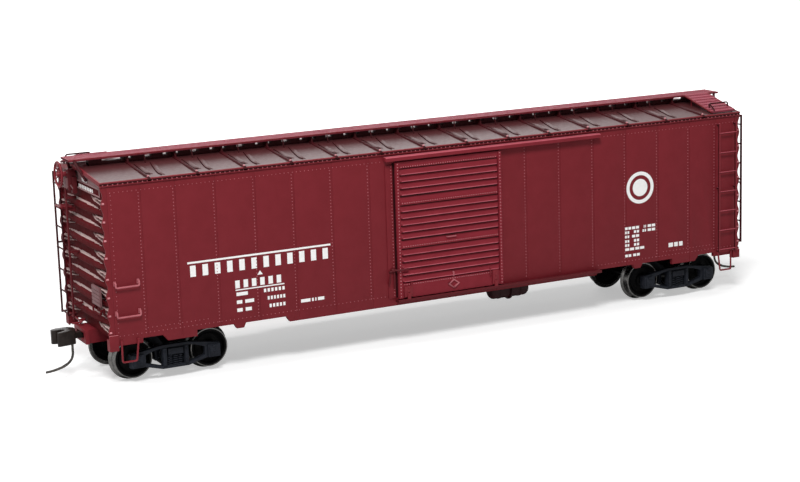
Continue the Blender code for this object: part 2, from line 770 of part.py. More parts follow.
def rib_ring(y, middle, reach_share):
    """Cross-section of an end rib at one place across the end."""
    height = END_RIB_HEIGHT * reach_share
    depth = END_RIB_DEPTH * reach_share
    low = middle - height / 2
    ring = [(END_FACE_X - SINK, y, low)]
    for height_share, depth_share in RIB_FACE_SHARES:
        ring.append((END_FACE_X + depth * depth_share, y, low + height * height_share))
    ring.append((END_FACE_X - SINK, y, low + height))
    return ring


def dart_ring(y, middle, share):
    """Cross-section of a dart between two end ribs."""
    half_height = DART_HEIGHT / 2 * share
    return [(END_FACE_X - SINK, y, middle - half_height),
            (END_FACE_X + DART_DEPTH * share, y, middle),
            (END_FACE_X - SINK, y, middle + half_height)]


def corner_block(side, top):
    """Block on the foot of a corner post, over the end of the side's lower edge."""
    in_y = HALF_WIDTH - CORNER_WIDTH
    lap_y = HALF_WIDTH + CLEARANCE
    out_y = lap_y + CORNER_BLOCK_DEPTH
    inner_x = HALF_LENGTH - CORNER_BLOCK_LENGTH
    outline = [(HALF_LENGTH, side * in_y), (HALF_LENGTH, side * out_y), (inner_x, side * out_y),
               (inner_x, side * lap_y), (END_BACK_X + SINK, side * lap_y),
               (END_BACK_X + SINK, side * in_y)]
    bottom = BASE_Z - CORNER_DROP
    return plate("corner_block", [outline], top - bottom, IN_XY, (0, 0, (top + bottom) / 2))


def build_ends():
    """Pressed ends: a sheet with tapering ribs, darts between them and a raised upper panel."""
    gable_z = roof_height(0, ROOF_UNDER_Z) - CLEARANCE
    outline = mirrored([
        (HALF_WIDTH - CORNER_WIDTH, BASE_Z), (HALF_WIDTH - CORNER_WIDTH, BASE_Z - CORNER_DROP),
        (HALF_WIDTH, BASE_Z - CORNER_DROP), (HALF_WIDTH, SIDE_TOP_Z)])
    outline.insert(len(outline) // 2, (0, gable_z))
    end = plate("end_plain", [outline], END_SHEET, IN_YZ, (END_BACK_X + END_SHEET / 2, 0, 0))
    panel_top = SIDE_TOP_Z - END_PANEL_DROP
    lowest = BASE_Z + END_RIB_START
    highest = panel_top - END_PANEL_HEIGHT - END_RIB_TOP_MARGIN
    pitch = (highest - lowest) / (END_RIB_COUNT - 1)
    corner_y = END_RIB_LENGTH / 2
    pressings = []
    for index in range(END_RIB_COUNT):
        middle = lowest + pitch * index
        rings = [rib_ring(share * corner_y, middle, reach) for share, reach in END_RIB_SHARES]
        pressings.append(loft("end_rib", rings))
        if index == END_RIB_COUNT - 1:
            continue
        for side in (1, -1):
            tip_y = side * (corner_y - DART_LENGTH)
            tip_share = 0.2
            pressings.append(loft("end_dart", [
                dart_ring(side * corner_y, middle + pitch / 2, 1),
                dart_ring(tip_y, middle + pitch / 2, tip_share)]))
    ladder_foot = BASE_Z - LADDER_DROP - CLEARANCE
    pressings.append(corner_block(-1, ladder_foot))
    pressings.append(corner_block(1, BASE_Z - CORNER_DROP + CORNER_BLOCK_HEIGHT))
    pressings.append(box("end_panel",
                         (END_FACE_X - SINK, -END_PANEL_LENGTH / 2, panel_top - END_PANEL_HEIGHT),
                         (END_FACE_X + END_PANEL_DEPTH, END_PANEL_LENGTH / 2, panel_top)))
    pair(fuse(end, pressings), "body", "end_brake")


def roof_ring(x, lift):
    """Cross-section of the roof at one place along the car, raised where it is a seam cap."""
    under_y = HALF_WIDTH
    under_eave = roof_height(under_y, ROOF_UNDER_Z)
    edge_y = ROOF_HALF_WIDTH - EAVE_RECESS
    ledge_z = ROOF_UNDER_Z + EAVE_LEDGE
    half = [
        (edge_y, roof_height(edge_y, EAVE_Z) + lift), (edge_y, ledge_z),
        (ROOF_HALF_WIDTH, ledge_z), (ROOF_HALF_WIDTH, ROOF_UNDER_Z), (under_y, under_eave)]
    ring = [(x, 0, RIDGE_Z + lift)] + [(x, y, z) for y, z in half]
    ring.append((x, 0, roof_height(0, ROOF_UNDER_Z)))
    return ring + [(x, -y, z) for y, z in reversed(half)]


def bead_ring(x, y):
    """Cross-section of a bead on the roof."""
    level = roof_height(y, EAVE_Z)
    half = ROOF_BEAD_WIDTH / 2
    return [(x - half, y, level - SINK), (x, y, level + ROOF_BEAD_HEIGHT), (x + half, y, level - SINK)]


def roof_beads():
    """Slanting beads in all the roof panels but the end ones, on both slopes."""
    beads = []
    for place in seam_places()[:-1]:
        for start_share, end_share, width_share in ROOF_BEAD_SHARES:
            start_x = place + ROOF_PANEL_PITCH * start_share
            end_x = place + ROOF_PANEL_PITCH * end_share
            end_y = ROOF_HALF_WIDTH * width_share
            for side in (1, -1):
                beads.append(loft("roof_bead", [
                    bead_ring(side * start_x, -side * ROOF_BEAD_TOP),
                    bead_ring(side * end_x, -side * end_y)]))
    return beads


def build_roof():
    """Roof of sloping, beaded panels whose seams are covered by raised caps."""
    rings = [roof_ring(-ROOF_HALF_LENGTH, 0)]
    for place in seam_places():
        for offset, lift in ((-SEAM_CAP_WIDTH / 2, 0), (-SEAM_CAP_TOP / 2, SEAM_CAP_HEIGHT),
                             (SEAM_CAP_TOP / 2, SEAM_CAP_HEIGHT), (SEAM_CAP_WIDTH / 2, 0)):
            rings.append(roof_ring(place + offset, lift))
    rings.append(roof_ring(ROOF_HALF_LENGTH, 0))
    finish(fuse(loft("roof", rings), roof_beads()), "roof")


def slots(rows, row_space, columns, bar, end_bar):
    """Rectangular holes of a grating: rows across row_space, columns as (start, end) pairs."""
    low, high = row_space
    pitch = (high - low - bar) / rows
    holes = []
    for start, end in columns:
        for row in range(rows):
            bottom = low + bar + pitch * row
            holes.append(rectangle(start + end_bar / 2, bottom, end - end_bar / 2,
                                   bottom + pitch - bar))
    return holes


def build_running_board():
    """Lengthwise grating on saddles that stand on the roof's seam caps."""
    places = seam_places()
    stops = [-BOARD_END_X, *places, BOARD_END_X]
    columns = list(zip(stops, stops[1:]))
    half_width = BOARD_WIDTH / 2
    outline = rectangle(-BOARD_END_X, -half_width, BOARD_END_X, half_width)
    holes = slots(SLOT_ROWS, (-half_width, half_width), columns, SLOT_BAR, SLOT_END_BAR)
    board = plate("running_board", [outline, *holes], BOARD_THICKNESS, IN_XY,
                  (0, 0, BOARD_UNDER_Z + BOARD_THICKNESS / 2))
    foot_y = half_width - SLOT_BAR / 2
    level = EAVE_Z + SEAM_CAP_HEIGHT + CLEARANCE
    saddle = [(foot_y, BOARD_UNDER_Z + SINK), (foot_y, roof_height(foot_y, level)),
              (0, roof_height(0, level))]
    outline = saddle + [(-across, up) for across, up in reversed(saddle[:-1])]
    saddles = [plate("saddle", [outline], SADDLE_THICKNESS, IN_YZ, (place, 0, 0))
               for place in places]
    braces = []
    for _, end in CAR_ENDS:
        for side in (1, -1):
            top = (end * (BOARD_END_X - BOARD_BRACE_INSET), side * foot_y, BOARD_UNDER_Z + SINK)
            foot = (end * (END_FACE_X + CLEARANCE + WIRE_RADIUS), side * BOARD_BRACE_SPREAD,
                    SIDE_TOP_Z - BOARD_BRACE_DROP)
            braces.append(round_bar("board_brace", top, foot, WIRE_RADIUS, RUNG_SIDES))
    finish(fuse(board, saddles + braces), "board")


def build_lateral_boards():
    """Short gratings from the running board down to the eave, each with its corner hand hold."""
    inner_y = BOARD_WIDTH / 2 + CLEARANCE
    outer_y = HALF_WIDTH - LATERAL_OUTER_GAP
    inner_z = BOARD_TOP_Z - BOARD_THICKNESS
    outer_z = roof_height(outer_y, EAVE_Z) + LATERAL_LIFT
    slope = math.atan2(inner_z - outer_z, outer_y - inner_y)
    span = math.hypot(inner_z - outer_z, outer_y - inner_y)
    high_x = HALF_LENGTH - LATERAL_INSET
    low_x = high_x - LATERAL_LENGTH
    outline = rectangle(low_x, -span, high_x, 0)
    holes = slots(LATERAL_SLOTS, (-span, 0), [(low_x, high_x)], SLOT_BAR, SLOT_END_BAR)
    board = flat_outline("lateral_near", [outline, *holes], BOARD_THICKNESS)
    lift = BOARD_THICKNESS / 2
    board = as_mesh(stand(board, Matrix.Rotation(slope, 4, "X"),
                          (0, -inner_y, inner_z + lift)))
    foot_y = -outer_y + SLOT_BAR / 2
    rail_x = high_x - SLOT_END_BAR / 2

    def on_board(x, y, rise):
        """Point above the board's middle plane."""
        level = outer_z + lift + (y + outer_y) * math.tan(slope)
        return (x, y, level + rise)

    grab = as_mesh(wire("lateral_grab", [
        on_board(rail_x, foot_y + LATERAL_GRAB_REACH, 0),
        on_board(rail_x, foot_y + LATERAL_GRAB_REACH, LATERAL_GRAB_HEIGHT),
        on_board(rail_x, foot_y, LATERAL_GRAB_HEIGHT),
        on_board(rail_x - LATERAL_GRAB_REACH, foot_y, LATERAL_GRAB_HEIGHT),
        on_board(rail_x - LATERAL_GRAB_REACH, foot_y, 0)], WIRE_RADIUS))
    pair(fuse(board, [grab]), "board", "lateral_far")


def build_floor():
    """Deck with the body bolsters, crossbearers and king pins below it."""
    half_width = HALF_WIDTH - WALL - CLEARANCE
    floor = box("floor", (-SIDE_END_X, -half_width, BASE_Z), (SIDE_END_X, half_width, DECK_Z))
    members = []
    plate_z = CENTRE_PLATE_Z + CLEARANCE
    bolster = mirrored([(BODY_BOLSTER_PAD, plate_z), (half_width, BASE_Z - SILL_DROP),
                        (half_width, BASE_Z + SINK)])
    pin_foot = CENTRE_PLATE_Z - BOLSTER_DEPTH - CLEARANCE
    for _, side in CAR_ENDS:
        place = side * TRUCK_X
        members.append(plate("body_bolster", [bolster], BODY_BOLSTER_WIDTH, IN_YZ, (place, 0, 0)))
        members.append(round_bar("king_pin", (place, 0, pin_foot - SINK), (place, 0, BASE_Z),
                                 KINGPIN_RADIUS, TANK_STEPS))
        members.append(round_bar("king_pin_head", (place, 0, pin_foot - KINGPIN_HEAD_HEIGHT),
                                 (place, 0, pin_foot), KINGPIN_HEAD_RADIUS, TANK_STEPS))
    inner_y = CENTRE_SILL_WIDTH / 2 + CLEARANCE
    for share in CROSSBEARER_SHARES:
        for side in (1, -1):
            outline = [(side * inner_y, BASE_Z + SINK), (side * half_width, BASE_Z + SINK),
                       (side * half_width, BASE_Z - SILL_DROP),
                       (side * inner_y, BASE_Z - CROSSBEARER_DEPTH)]
            members.append(plate("crossbearer", [outline], CROSSBEARER_THICKNESS, IN_YZ,
                                 (share * TRUCK_X, 0, 0)))
    finish(fuse(floor, members), "underframe")


def build_centre_sill():
    """Channel along the middle of the underframe, between the body bolsters."""
    top = BASE_Z - CLEARANCE
    bottom = top - CENTRE_SILL_DEPTH
    outer = CENTRE_SILL_WIDTH / 2
    inner = outer - CENTRE_SILL_WEB
    outline = [(outer, top), (outer, bottom), (inner, bottom), (inner, top - CENTRE_SILL_COVER),
               (-inner, top - CENTRE_SILL_COVER), (-inner, bottom), (-outer, bottom),
               (-outer, top)]
    length = 2 * (TRUCK_X - BODY_BOLSTER_WIDTH / 2 - CLEARANCE)
    finish(plate("centre_sill", [outline], length, IN_YZ), "underframe")


def build_ballast():
    """Plain steel weight on the deck."""
    low = DECK_Z + CLEARANCE
    finish(box("ballast", (-BALLAST_LENGTH / 2, -BALLAST_WIDTH / 2, low),
               (BALLAST_LENGTH / 2, BALLAST_WIDTH / 2, low + BALLAST_THICKNESS)), "ballast")


def door_profile():
    """Cross-section of a door from top to bottom: bands, ribs, and a flat back."""
    back = -DOOR_BACK_Y
    face = back - DOOR_SHEET
    seam = face - DOOR_SEAM_DEPTH
    rib_space = (DOOR_TOP_Z - DOOR_BOTTOM_Z - DOOR_TOP_BAND - DOOR_BOTTOM_BAND
                 - DOOR_SEAM_BAND * (len(DOOR_RIB_COUNTS) - 1))
    pitch = rib_space / sum(DOOR_RIB_COUNTS)
    front = [(face, DOOR_BOTTOM_Z)]
    level = DOOR_BOTTOM_Z + DOOR_BOTTOM_BAND
    for count in DOOR_RIB_COUNTS:
        for _ in range(count):
            for rise_share, depth_share in DOOR_RIB_SHARES:
                front.append((face - DOOR_RIB_DEPTH * depth_share, level + pitch * rise_share))
            level += pitch
        if level < DOOR_TOP_Z - DOOR_SEAM_BAND:
            front += [(face, level), (seam, level + SINK), (seam, level + DOOR_SEAM_BAND - SINK)]
        level += DOOR_SEAM_BAND
    return front + [(face, DOOR_TOP_Z), (back, DOOR_TOP_Z), (back, DOOR_BOTTOM_Z)]


def build_doors():
    """Sliding doors: a ribbed panel with edge posts, roller brackets and a card holder."""
    door = plate("door_near", [door_profile()], DOOR_WIDTH, IN_YZ)
    face = -DOOR_BACK_Y - DOOR_SHEET
    crest = face - DOOR_EDGE_DEPTH
    fittings = []
    for side in (1, -1):
        edge = side * DOOR_WIDTH / 2
        fittings.append(box("door_edge", (edge, face + SINK, DOOR_BOTTOM_Z),
                            (edge - side * DOOR_EDGE_WIDTH, crest, DOOR_TOP_Z)))
        foot = side * (DOOR_WIDTH / 2 - DOOR_FOOT_INSET)
        fittings.append(box("door_foot", (foot, face + SINK, DOOR_BOTTOM_Z),
                            (foot - side * DOOR_FOOT_WIDTH, face - DOOR_RIB_DEPTH,
                             DOOR_BOTTOM_Z + DOOR_FOOT_HEIGHT)))
    card_x, card_rise = DOOR_CARD_PLACE
    card = [(DOOR_CARD_HALF_WIDTH, 0), (0, DOOR_CARD_HALF_HEIGHT), (-DOOR_CARD_HALF_WIDTH, 0),
            (0, -DOOR_CARD_HALF_HEIGHT)]
    fittings.append(plate("door_card", [card], DOOR_SEAM_DEPTH + SINK, IN_XZ,
                          (card_x, face + (SINK - DOOR_SEAM_DEPTH) / 2, DOOR_BOTTOM_Z + card_rise)))
    door = fuse(door, fittings)
    pair(door, "body", "door_far")


def build_tracks():
    """Upper and lower door tracks, long enough for the open door."""
    wall = -HALF_WIDTH - CLEARANCE
    lip_in = -DOOR_FRONT_Y - TRACK_GAP
    lip_out = lip_in - TRACK_LIP
    under = DOOR_TOP_Z + TRACK_GAP
    left = -DOOR_WIDTH / 2 - TRACK_CLOSED_END
    right = DOOR_WIDTH / 2 + DOOR_TRAVEL + TRACK_OPEN_END
    groove = lip_out + TRACK_GROOVE
    upper = [(wall, under), (lip_in, under), (lip_in, DOOR_TOP_Z - TRACK_HANG),
             (lip_out, DOOR_TOP_Z - TRACK_HANG), (lip_out, under + TRACK_TOP / 4),
             (groove, under + TRACK_TOP / 2), (lip_out, under + TRACK_TOP * 3 / 4),
             (lip_out, under + TRACK_TOP), (wall, under + TRACK_TOP)]
    place = ((left + right) / 2, 0, 0)
    track = plate("upper_track_near", [upper], right - left, IN_YZ, place)
    pair(track, "body", "upper_track_far")
    low_top = DOOR_BOTTOM_Z - TRACK_GAP
    lower = rectangle(lip_out, low_top - LOWER_TRACK_DEPTH, wall, low_top)
    low_right = DOOR_WIDTH / 2 + DOOR_TRAVEL
    place = ((left + low_right) / 2, 0, 0)
    track = plate("lower_track_near", [lower], low_right - left, IN_YZ, place)
    pair(track, "body", "lower_track_far")


def build_ladder(name, width, low, high):
    """Ladder in the XZ plane, off a wall at y = 0 that faces -Y, with feet at its ends."""
    stiles = []
    near = -CLEARANCE - LADDER_STANDOFF
    far = near - STILE_DEPTH
    for side in (1, -1):
        inner = side * (width / 2 - STILE_WIDTH / 2)
        outer = side * (width / 2 + STILE_WIDTH / 2)
        stiles.append(box(name, (inner, near, low), (outer, far, high)))
        for foot in (low, high - STILE_WIDTH):
            stiles.append(box(name + "_foot", (inner, -CLEARANCE, foot),
                              (outer, near - SINK, foot + STILE_WIDTH)))
    rung_y = (near + far) / 2
    pitch = (high - low - RUNG_TOP_MARGIN - LADDER_END_MARGIN) / (RUNG_COUNT - 1)
    for index in range(RUNG_COUNT):
        rung_z = low + LADDER_END_MARGIN + pitch * index
        stiles.append(round_bar(name + "_rung", (-width / 2, rung_y, rung_z),
                                (width / 2, rung_y, rung_z), RUNG_RADIUS, RUNG_SIDES))
    return fuse(stiles[0], stiles[1:])


def build_ladders():
    """Side ladders at two corners and end ladders round the corner from them."""
    ladder = build_ladder("side_ladder_near", LADDER_WIDTH, BASE_Z - LADDER_DROP,
                          SIDE_TOP_Z - LADDER_TOP_GAP)
    ladder.matrix_world = Matrix.Translation((HALF_LENGTH - LADDER_CORNER_INSET, -HALF_WIDTH, 0))
    pair(as_mesh(ladder), "body", "side_ladder_far")
    ladder = build_ladder("end_ladder_plain", END_LADDER_WIDTH, BASE_Z + END_LADDER_FOOT,
                          SIDE_TOP_Z - END_LADDER_TOP_GAP)
    turn = Matrix.Rotation(math.pi / 2, 4, "Z")
    ladder.matrix_world = Matrix.Translation((END_FACE_X, -END_LADDER_OFFSET, 0)) @ turn
    pair(as_mesh(ladder), "body", "end_ladder_brake")


def grab_points(width, drop, standoff):
    """Drop hand hold: feet on a wall at y = 0 that faces -Y, its bar below the feet."""
    half = [(width / 2, -CLEARANCE, 0), (width / 2, -standoff, 0), (width / 2, -standoff, -drop)]
    return half + [(-x, y, z) for x, y, z in reversed(half)]


def build_grabs():
    """Hand holds at the left end of each side, and across the car from each end ladder."""
    points = grab_points(GRAB_WIDTH, GRAB_DROP, GRAB_STANDOFF)
    for level, rise in zip(("upper", "lower"), GRAB_RISES):
        grab = wire(f"grab_near_{level}", points, WIRE_RADIUS)
        stand(grab, IN_XY, (-HALF_LENGTH + GRAB_CORNER_INSET, -HALF_WIDTH, BASE_Z + rise))
        pair(as_mesh(grab), "body", f"grab_far_{level}")
    grab = wire("end_grab_plain", points, WIRE_RADIUS)
    stand(grab, Matrix.Rotation(math.pi / 2, 4, "Z"),
          (END_FACE_X + END_RIB_DEPTH, END_GRAB_OFFSET, BASE_Z + END_GRAB_RISE))
    pair(as_mesh(grab), "body", "end_grab_brake")


def build_steps():
    """Stirrup steps below the four corners, fixed to the outer face of the sides."""
    step_y = -HALF_WIDTH - CLEARANCE - STEP_RADIUS
    top = BASE_Z - STEP_LAP
    bottom = BASE_Z - STEP_DEPTH
    for end, side in CAR_ENDS:
        outer = side * (HALF_LENGTH - STEP_CORNER_INSET)
        points = [(outer, step_y, top), (outer, step_y, bottom),
                  (outer - side * STEP_TREAD, step_y, bottom),
                  (outer - side * STEP_WIDTH, step_y, top)]
        step = as_mesh(wire(f"step_{end}_near", points, STEP_RADIUS))
        other = "brake" if end == "plain" else "plain"
        pair(step, "body", f"step_{other}_far")


def build_levers():
    """Uncoupling levers across the ends: a bent wire on two brackets, its handle at the left."""
    lever_x = HALF_LENGTH + LEVER_STANDOFF
    lever_z = BASE_Z + LEVER_RISE
    lever = as_mesh(wire("uncoupling_lever_plain", [
        (lever_x + LEVER_REACH, -LEVER_INNER, lever_z), (lever_x, -LEVER_INNER, lever_z),
        (lever_x, -LEVER_OUTER, lever_z), (lever_x, -LEVER_OUTER, lever_z - LEVER_HANDLE)],
        WIRE_RADIUS))
    brackets = []
    for share in LEVER_BRACKET_SHARES:
        y = -LEVER_INNER - (LEVER_OUTER - LEVER_INNER) * share
        brackets.append(box("lever_bracket",
                            (END_FACE_X + CLEARANCE, y - BRACKET_THICKNESS / 2, lever_z - WIRE_RADIUS),
                            (lever_x, y + BRACKET_THICKNESS / 2, lever_z + WIRE_RADIUS / 2)))
    pair(fuse(lever, brackets), "body", "uncoupling_lever_brake")


def build_tack_boards():
    """Small boards for notices, in front of the ribs near one corner of each end."""
    back_x = HALF_LENGTH + CLEARANCE
    low_z = BASE_Z + TACK_BOARD_RISE
    board = box("tack_board_plain",
                (back_x, TACK_BOARD_OFFSET - TACK_BOARD_WIDTH / 2, low_z),
                (back_x + TACK_BOARD_THICKNESS, TACK_BOARD_OFFSET + TACK_BOARD_WIDTH / 2,
                 low_z + TACK_BOARD_HEIGHT))
    pair(board, "body", "tack_board_brake")


def build_brake_wheel():
    """Hand brake wheel on its hub, in front of the gear housing at the brake end."""
    wheel_x = -END_FACE_X - BRAKE_WHEEL_STANDOFF
    wheel_z = SIDE_TOP_Z + BRAKE_WHEEL_RISE
    ring_radius = BRAKE_WHEEL_RADIUS - BRAKE_WHEEL_RIM
    bpy.ops.mesh.primitive_torus_add(
        location=(wheel_x, BRAKE_OFFSET, wheel_z), rotation=(0, math.pi / 2, 0),
        major_radius=ring_radius, minor_radius=BRAKE_WHEEL_RIM, major_segments=TANK_STEPS * 2,
        minor_segments=RUNG_SIDES)
    rim = bpy.context.object
    for group in rim.users_collection:
        group.objects.unlink(rim)
    MODEL.objects.link(rim)
    rim.name = "brake_wheel"
    spokes = [round_bar("hub", (wheel_x + BRAKE_HUB_LENGTH, BRAKE_OFFSET, wheel_z),
                        (wheel_x - BRAKE_WHEEL_RIM, BRAKE_OFFSET, wheel_z), BRAKE_HUB_RADIUS,
                        SPRING_STEPS)]
    for index in range(BRAKE_WHEEL_SPOKES):
        angle = 2 * math.pi * index / BRAKE_WHEEL_SPOKES + math.pi / 2
        tip = (wheel_x, BRAKE_OFFSET + ring_radius * math.cos(angle),
               wheel_z + ring_radius * math.sin(angle))
        spokes.append(round_bar("spoke", (wheel_x, BRAKE_OFFSET, wheel_z), tip, WIRE_RADIUS,
                                RUNG_SIDES))
    finish(fuse(rim, spokes), "body")


def build_brake_housing():
    """Gear housing of the hand brake, fixed to the ribbed end."""
    back_x = -HALF_LENGTH - CLEARANCE
    front_x = -END_FACE_X - BRAKE_WHEEL_STANDOFF + BRAKE_HUB_LENGTH + CLEARANCE
    top = SIDE_TOP_Z + BRAKE_WHEEL_RISE + BRAKE_HUB_RADIUS + HOUSING_BEVEL
    housing = box("brake_housing", (front_x, BRAKE_OFFSET - HOUSING_WIDTH / 2,
                                    top - HOUSING_HEIGHT),
                  (back_x, BRAKE_OFFSET + HOUSING_WIDTH / 2, top))
    bevel = housing.modifiers.new("Rounded", "BEVEL")
    bevel.width = HOUSING_BEVEL
    bevel.segments = 1
    finish(housing, "body")


def build_brake_rod():
    """Vertical rod from the housing down to the underframe."""
    rod_x = -HALF_LENGTH - BRAKE_ROD_STANDOFF
    top = (SIDE_TOP_Z + BRAKE_WHEEL_RISE + BRAKE_HUB_RADIUS + HOUSING_BEVEL - HOUSING_HEIGHT
           - CLEARANCE)
    finish(round_bar("brake_rod", (rod_x, BRAKE_OFFSET, top),
                     (rod_x, BRAKE_OFFSET, BASE_Z + BRAKE_ROD_FOOT), BRAKE_ROD_RADIUS,
                     SPRING_STEPS), "body")


def build_brake_platform():
    """Step below the brake wheel, notched round the rod, on two brackets."""
    level = SIDE_TOP_Z - PLATFORM_DROP
    back_x = -HALF_LENGTH - CLEARANCE
    front_x = back_x - PLATFORM_REACH
    notch_x = -HALF_LENGTH - PLATFORM_NOTCH
    half = PLATFORM_WIDTH / 2
    notch = BRAKE_ROD_RADIUS * 2
    outline = [(front_x, -half), (back_x, -half), (back_x, -notch), (notch_x, -notch),
               (notch_x, notch), (back_x, notch), (back_x, half), (front_x, half)]
    platform = plate("brake_platform", [outline], PLATFORM_THICKNESS, IN_XY,
                     (0, BRAKE_OFFSET, level - PLATFORM_THICKNESS / 2))
    under = level - PLATFORM_THICKNESS + SINK
    brackets = []
    for side in (1, -1):
        triangle = [(back_x, under), (front_x + PLATFORM_NOTCH, under),
                    (back_x, under - BRACKET_HEIGHT)]
        place_y = BRAKE_OFFSET + side * (half - BRACKET_THICKNESS)
        brackets.append(plate("bracket", [triangle], BRACKET_THICKNESS, IN_XZ, (0, place_y, 0)))
    finish(fuse(platform, brackets), "body")


def hang(name, body, places, tank_top):
    """Join a tank to the straps that hang it from the deck."""
    top = BASE_Z - CLEARANCE
    straps = []
    for x, y in places:
        straps.append(box(name + "_strap", (x - HANGER_THICKNESS / 2, y - HANGER_THICKNESS, top),
                          (x + HANGER_THICKNESS / 2, y + HANGER_THICKNESS, tank_top - SINK * 2)))
    return fuse(body, straps)


def build_reservoir():
    """Air reservoir with domed ends and a middle flange, lengthwise below the floor."""
    dome_share, dome_radius_share = 0.12, 0.55
    half = RESERVOIR_LENGTH / 2
    dome = RESERVOIR_LENGTH * dome_share
    flange = RESERVOIR_RADIUS + RESERVOIR_FLANGE
    side = [(0, half), (RESERVOIR_RADIUS * dome_radius_share, half - dome / 4),
            (RESERVOIR_RADIUS, half - dome), (RESERVOIR_RADIUS, RESERVOIR_FLANGE / 2),
            (flange, RESERVOIR_FLANGE / 2)]
    profile = side + [(radius, -along) for radius, along in reversed(side)]
    tank = turned("air_reservoir", profile, TANK_STEPS)
    x, y = RESERVOIR_PLACE
    top = BASE_Z - CLEARANCE - RESERVOIR_DROP
    stand(tank, Matrix.Rotation(math.pi / 2, 4, "Y"), (x, y, top - RESERVOIR_RADIUS))
    places = [(x - half / 2, y), (x + half / 2, y)]
    finish(hang("air_reservoir", as_mesh(tank), places, top), "underframe")


def build_cylinder():
    """Brake cylinder with its flange and piston rod."""
    half = CYLINDER_LENGTH / 2
    flange = CYLINDER_RADIUS + CYLINDER_FLANGE
    profile = [(0, half), (CYLINDER_RADIUS, half), (CYLINDER_RADIUS, -half + CYLINDER_FLANGE * 2),
               (flange, -half + CYLINDER_FLANGE * 2), (flange, -half), (PISTON_RADIUS, -half),
               (PISTON_RADIUS, -half - PISTON_LENGTH), (0, -half - PISTON_LENGTH)]
    tank = turned("brake_cylinder", profile, TANK_STEPS)
    x, y = CYLINDER_PLACE
    top = BASE_Z - CLEARANCE - HANGER_HEIGHT
    stand(tank, Matrix.Rotation(math.pi / 2, 4, "Y"), (x, y, top - flange))
    places = [(x + half / 2, y), (x - half / 4, y)]
    finish(hang("brake_cylinder", as_mesh(tank), places, top - CYLINDER_FLANGE), "underframe")


def build_valve():
    """Control valve: a block with two round caps and a bracket."""
    x, y = VALVE_PLACE
    top = BASE_Z - CLEARANCE
    low = top - VALVE_HEIGHT
    cap = VALVE_HEIGHT / 3
    valve = box("control_valve", (x - VALVE_LENGTH / 2, y - VALVE_WIDTH / 2, low),
                (x + VALVE_LENGTH / 2, y + VALVE_WIDTH / 2, top))
    caps = [round_bar("cap", (x - VALVE_LENGTH, y, low + cap), (x + VALVE_LENGTH, y, low + cap),
                      cap, TANK_STEPS)]
    finish(fuse(valve, caps), "underframe")


def build_brake_levers():
    """Brake lever across the car and the rods that run from it towards both trucks."""
    x, y = CYLINDER_PLACE
    lever_x = x - CYLINDER_LENGTH / 2 - PISTON_LENGTH - CLEARANCE - BRAKE_LEVER_WIDTH
    sill_bottom = BASE_Z - CLEARANCE - CENTRE_SILL_DEPTH
    level = sill_bottom - CLEARANCE - BRAKE_LINE_RADIUS
    lever = box("brake_levers",
                (lever_x - BRAKE_LEVER_WIDTH / 2, y - BRAKE_LEVER_LENGTH,
                 level - BRAKE_LEVER_THICKNESS / 2),
                (lever_x + BRAKE_LEVER_WIDTH / 2, y + BRAKE_LEVER_WIDTH,
                 level + BRAKE_LEVER_THICKNESS / 2))
    rods = []
    for side in (1, -1):
        place_y = y - BRAKE_LEVER_LENGTH / 2 + side * BRAKE_LEVER_WIDTH
        rods.append(as_mesh(wire("rod", [(lever_x, place_y, level),
                                         (side * (TRUCK_X - BRAKE_LINE_GAP), place_y, level)],
                                 BRAKE_LINE_RADIUS)))
    finish(fuse(lever, rods), "underframe")


def build_draft_box(name):
    """Draft box at the plain end: a sill with a pocket for the coupler and its pivot post."""
    back = TRUCK_X + BODY_BOLSTER_WIDTH / 2 + CLEARANCE
    front = HALF_LENGTH + DRAFT_BOX_FRONT
    box_back = front - DRAFT_BOX_LENGTH
    half = [(box_back, DRAFT_BOX_WIDTH / 2), (front - STRIKER_THICKNESS, DRAFT_BOX_WIDTH / 2),
            (front - STRIKER_THICKNESS, STRIKER_WIDTH / 2), (front, STRIKER_WIDTH / 2)]
    outline = half + [(along, -across) for along, across in reversed(half)]
    top = BASE_Z - CLEARANCE
    draft = plate(name, [outline], DRAFT_BOX_DEPTH, IN_XY, (0, 0, top - DRAFT_BOX_DEPTH / 2))
    sill = box("draft_sill", (back, -DRAFT_SILL_WIDTH / 2, top - CENTRE_SILL_DEPTH),
               (box_back + SINK, DRAFT_SILL_WIDTH / 2, top))
    draft = fuse(draft, [sill])
    pocket_half = SHANK_HEIGHT / 2 + CLEARANCE
    pocket = box("pocket", (PIVOT_X - DRAFT_POCKET_BACK, -DRAFT_POCKET_WIDTH / 2,
                            COUPLER_Z - pocket_half),
                 (front + CUT_OVERRUN, DRAFT_POCKET_WIDTH / 2, COUPLER_Z + pocket_half))
    draft = cut(draft, [pocket])
    post = round_bar("post", (PIVOT_X, 0, COUPLER_Z - pocket_half - SINK),
                     (PIVOT_X, 0, COUPLER_Z + pocket_half + SINK), PIVOT_POST_RADIUS, TANK_STEPS)
    return fuse(draft, [post])


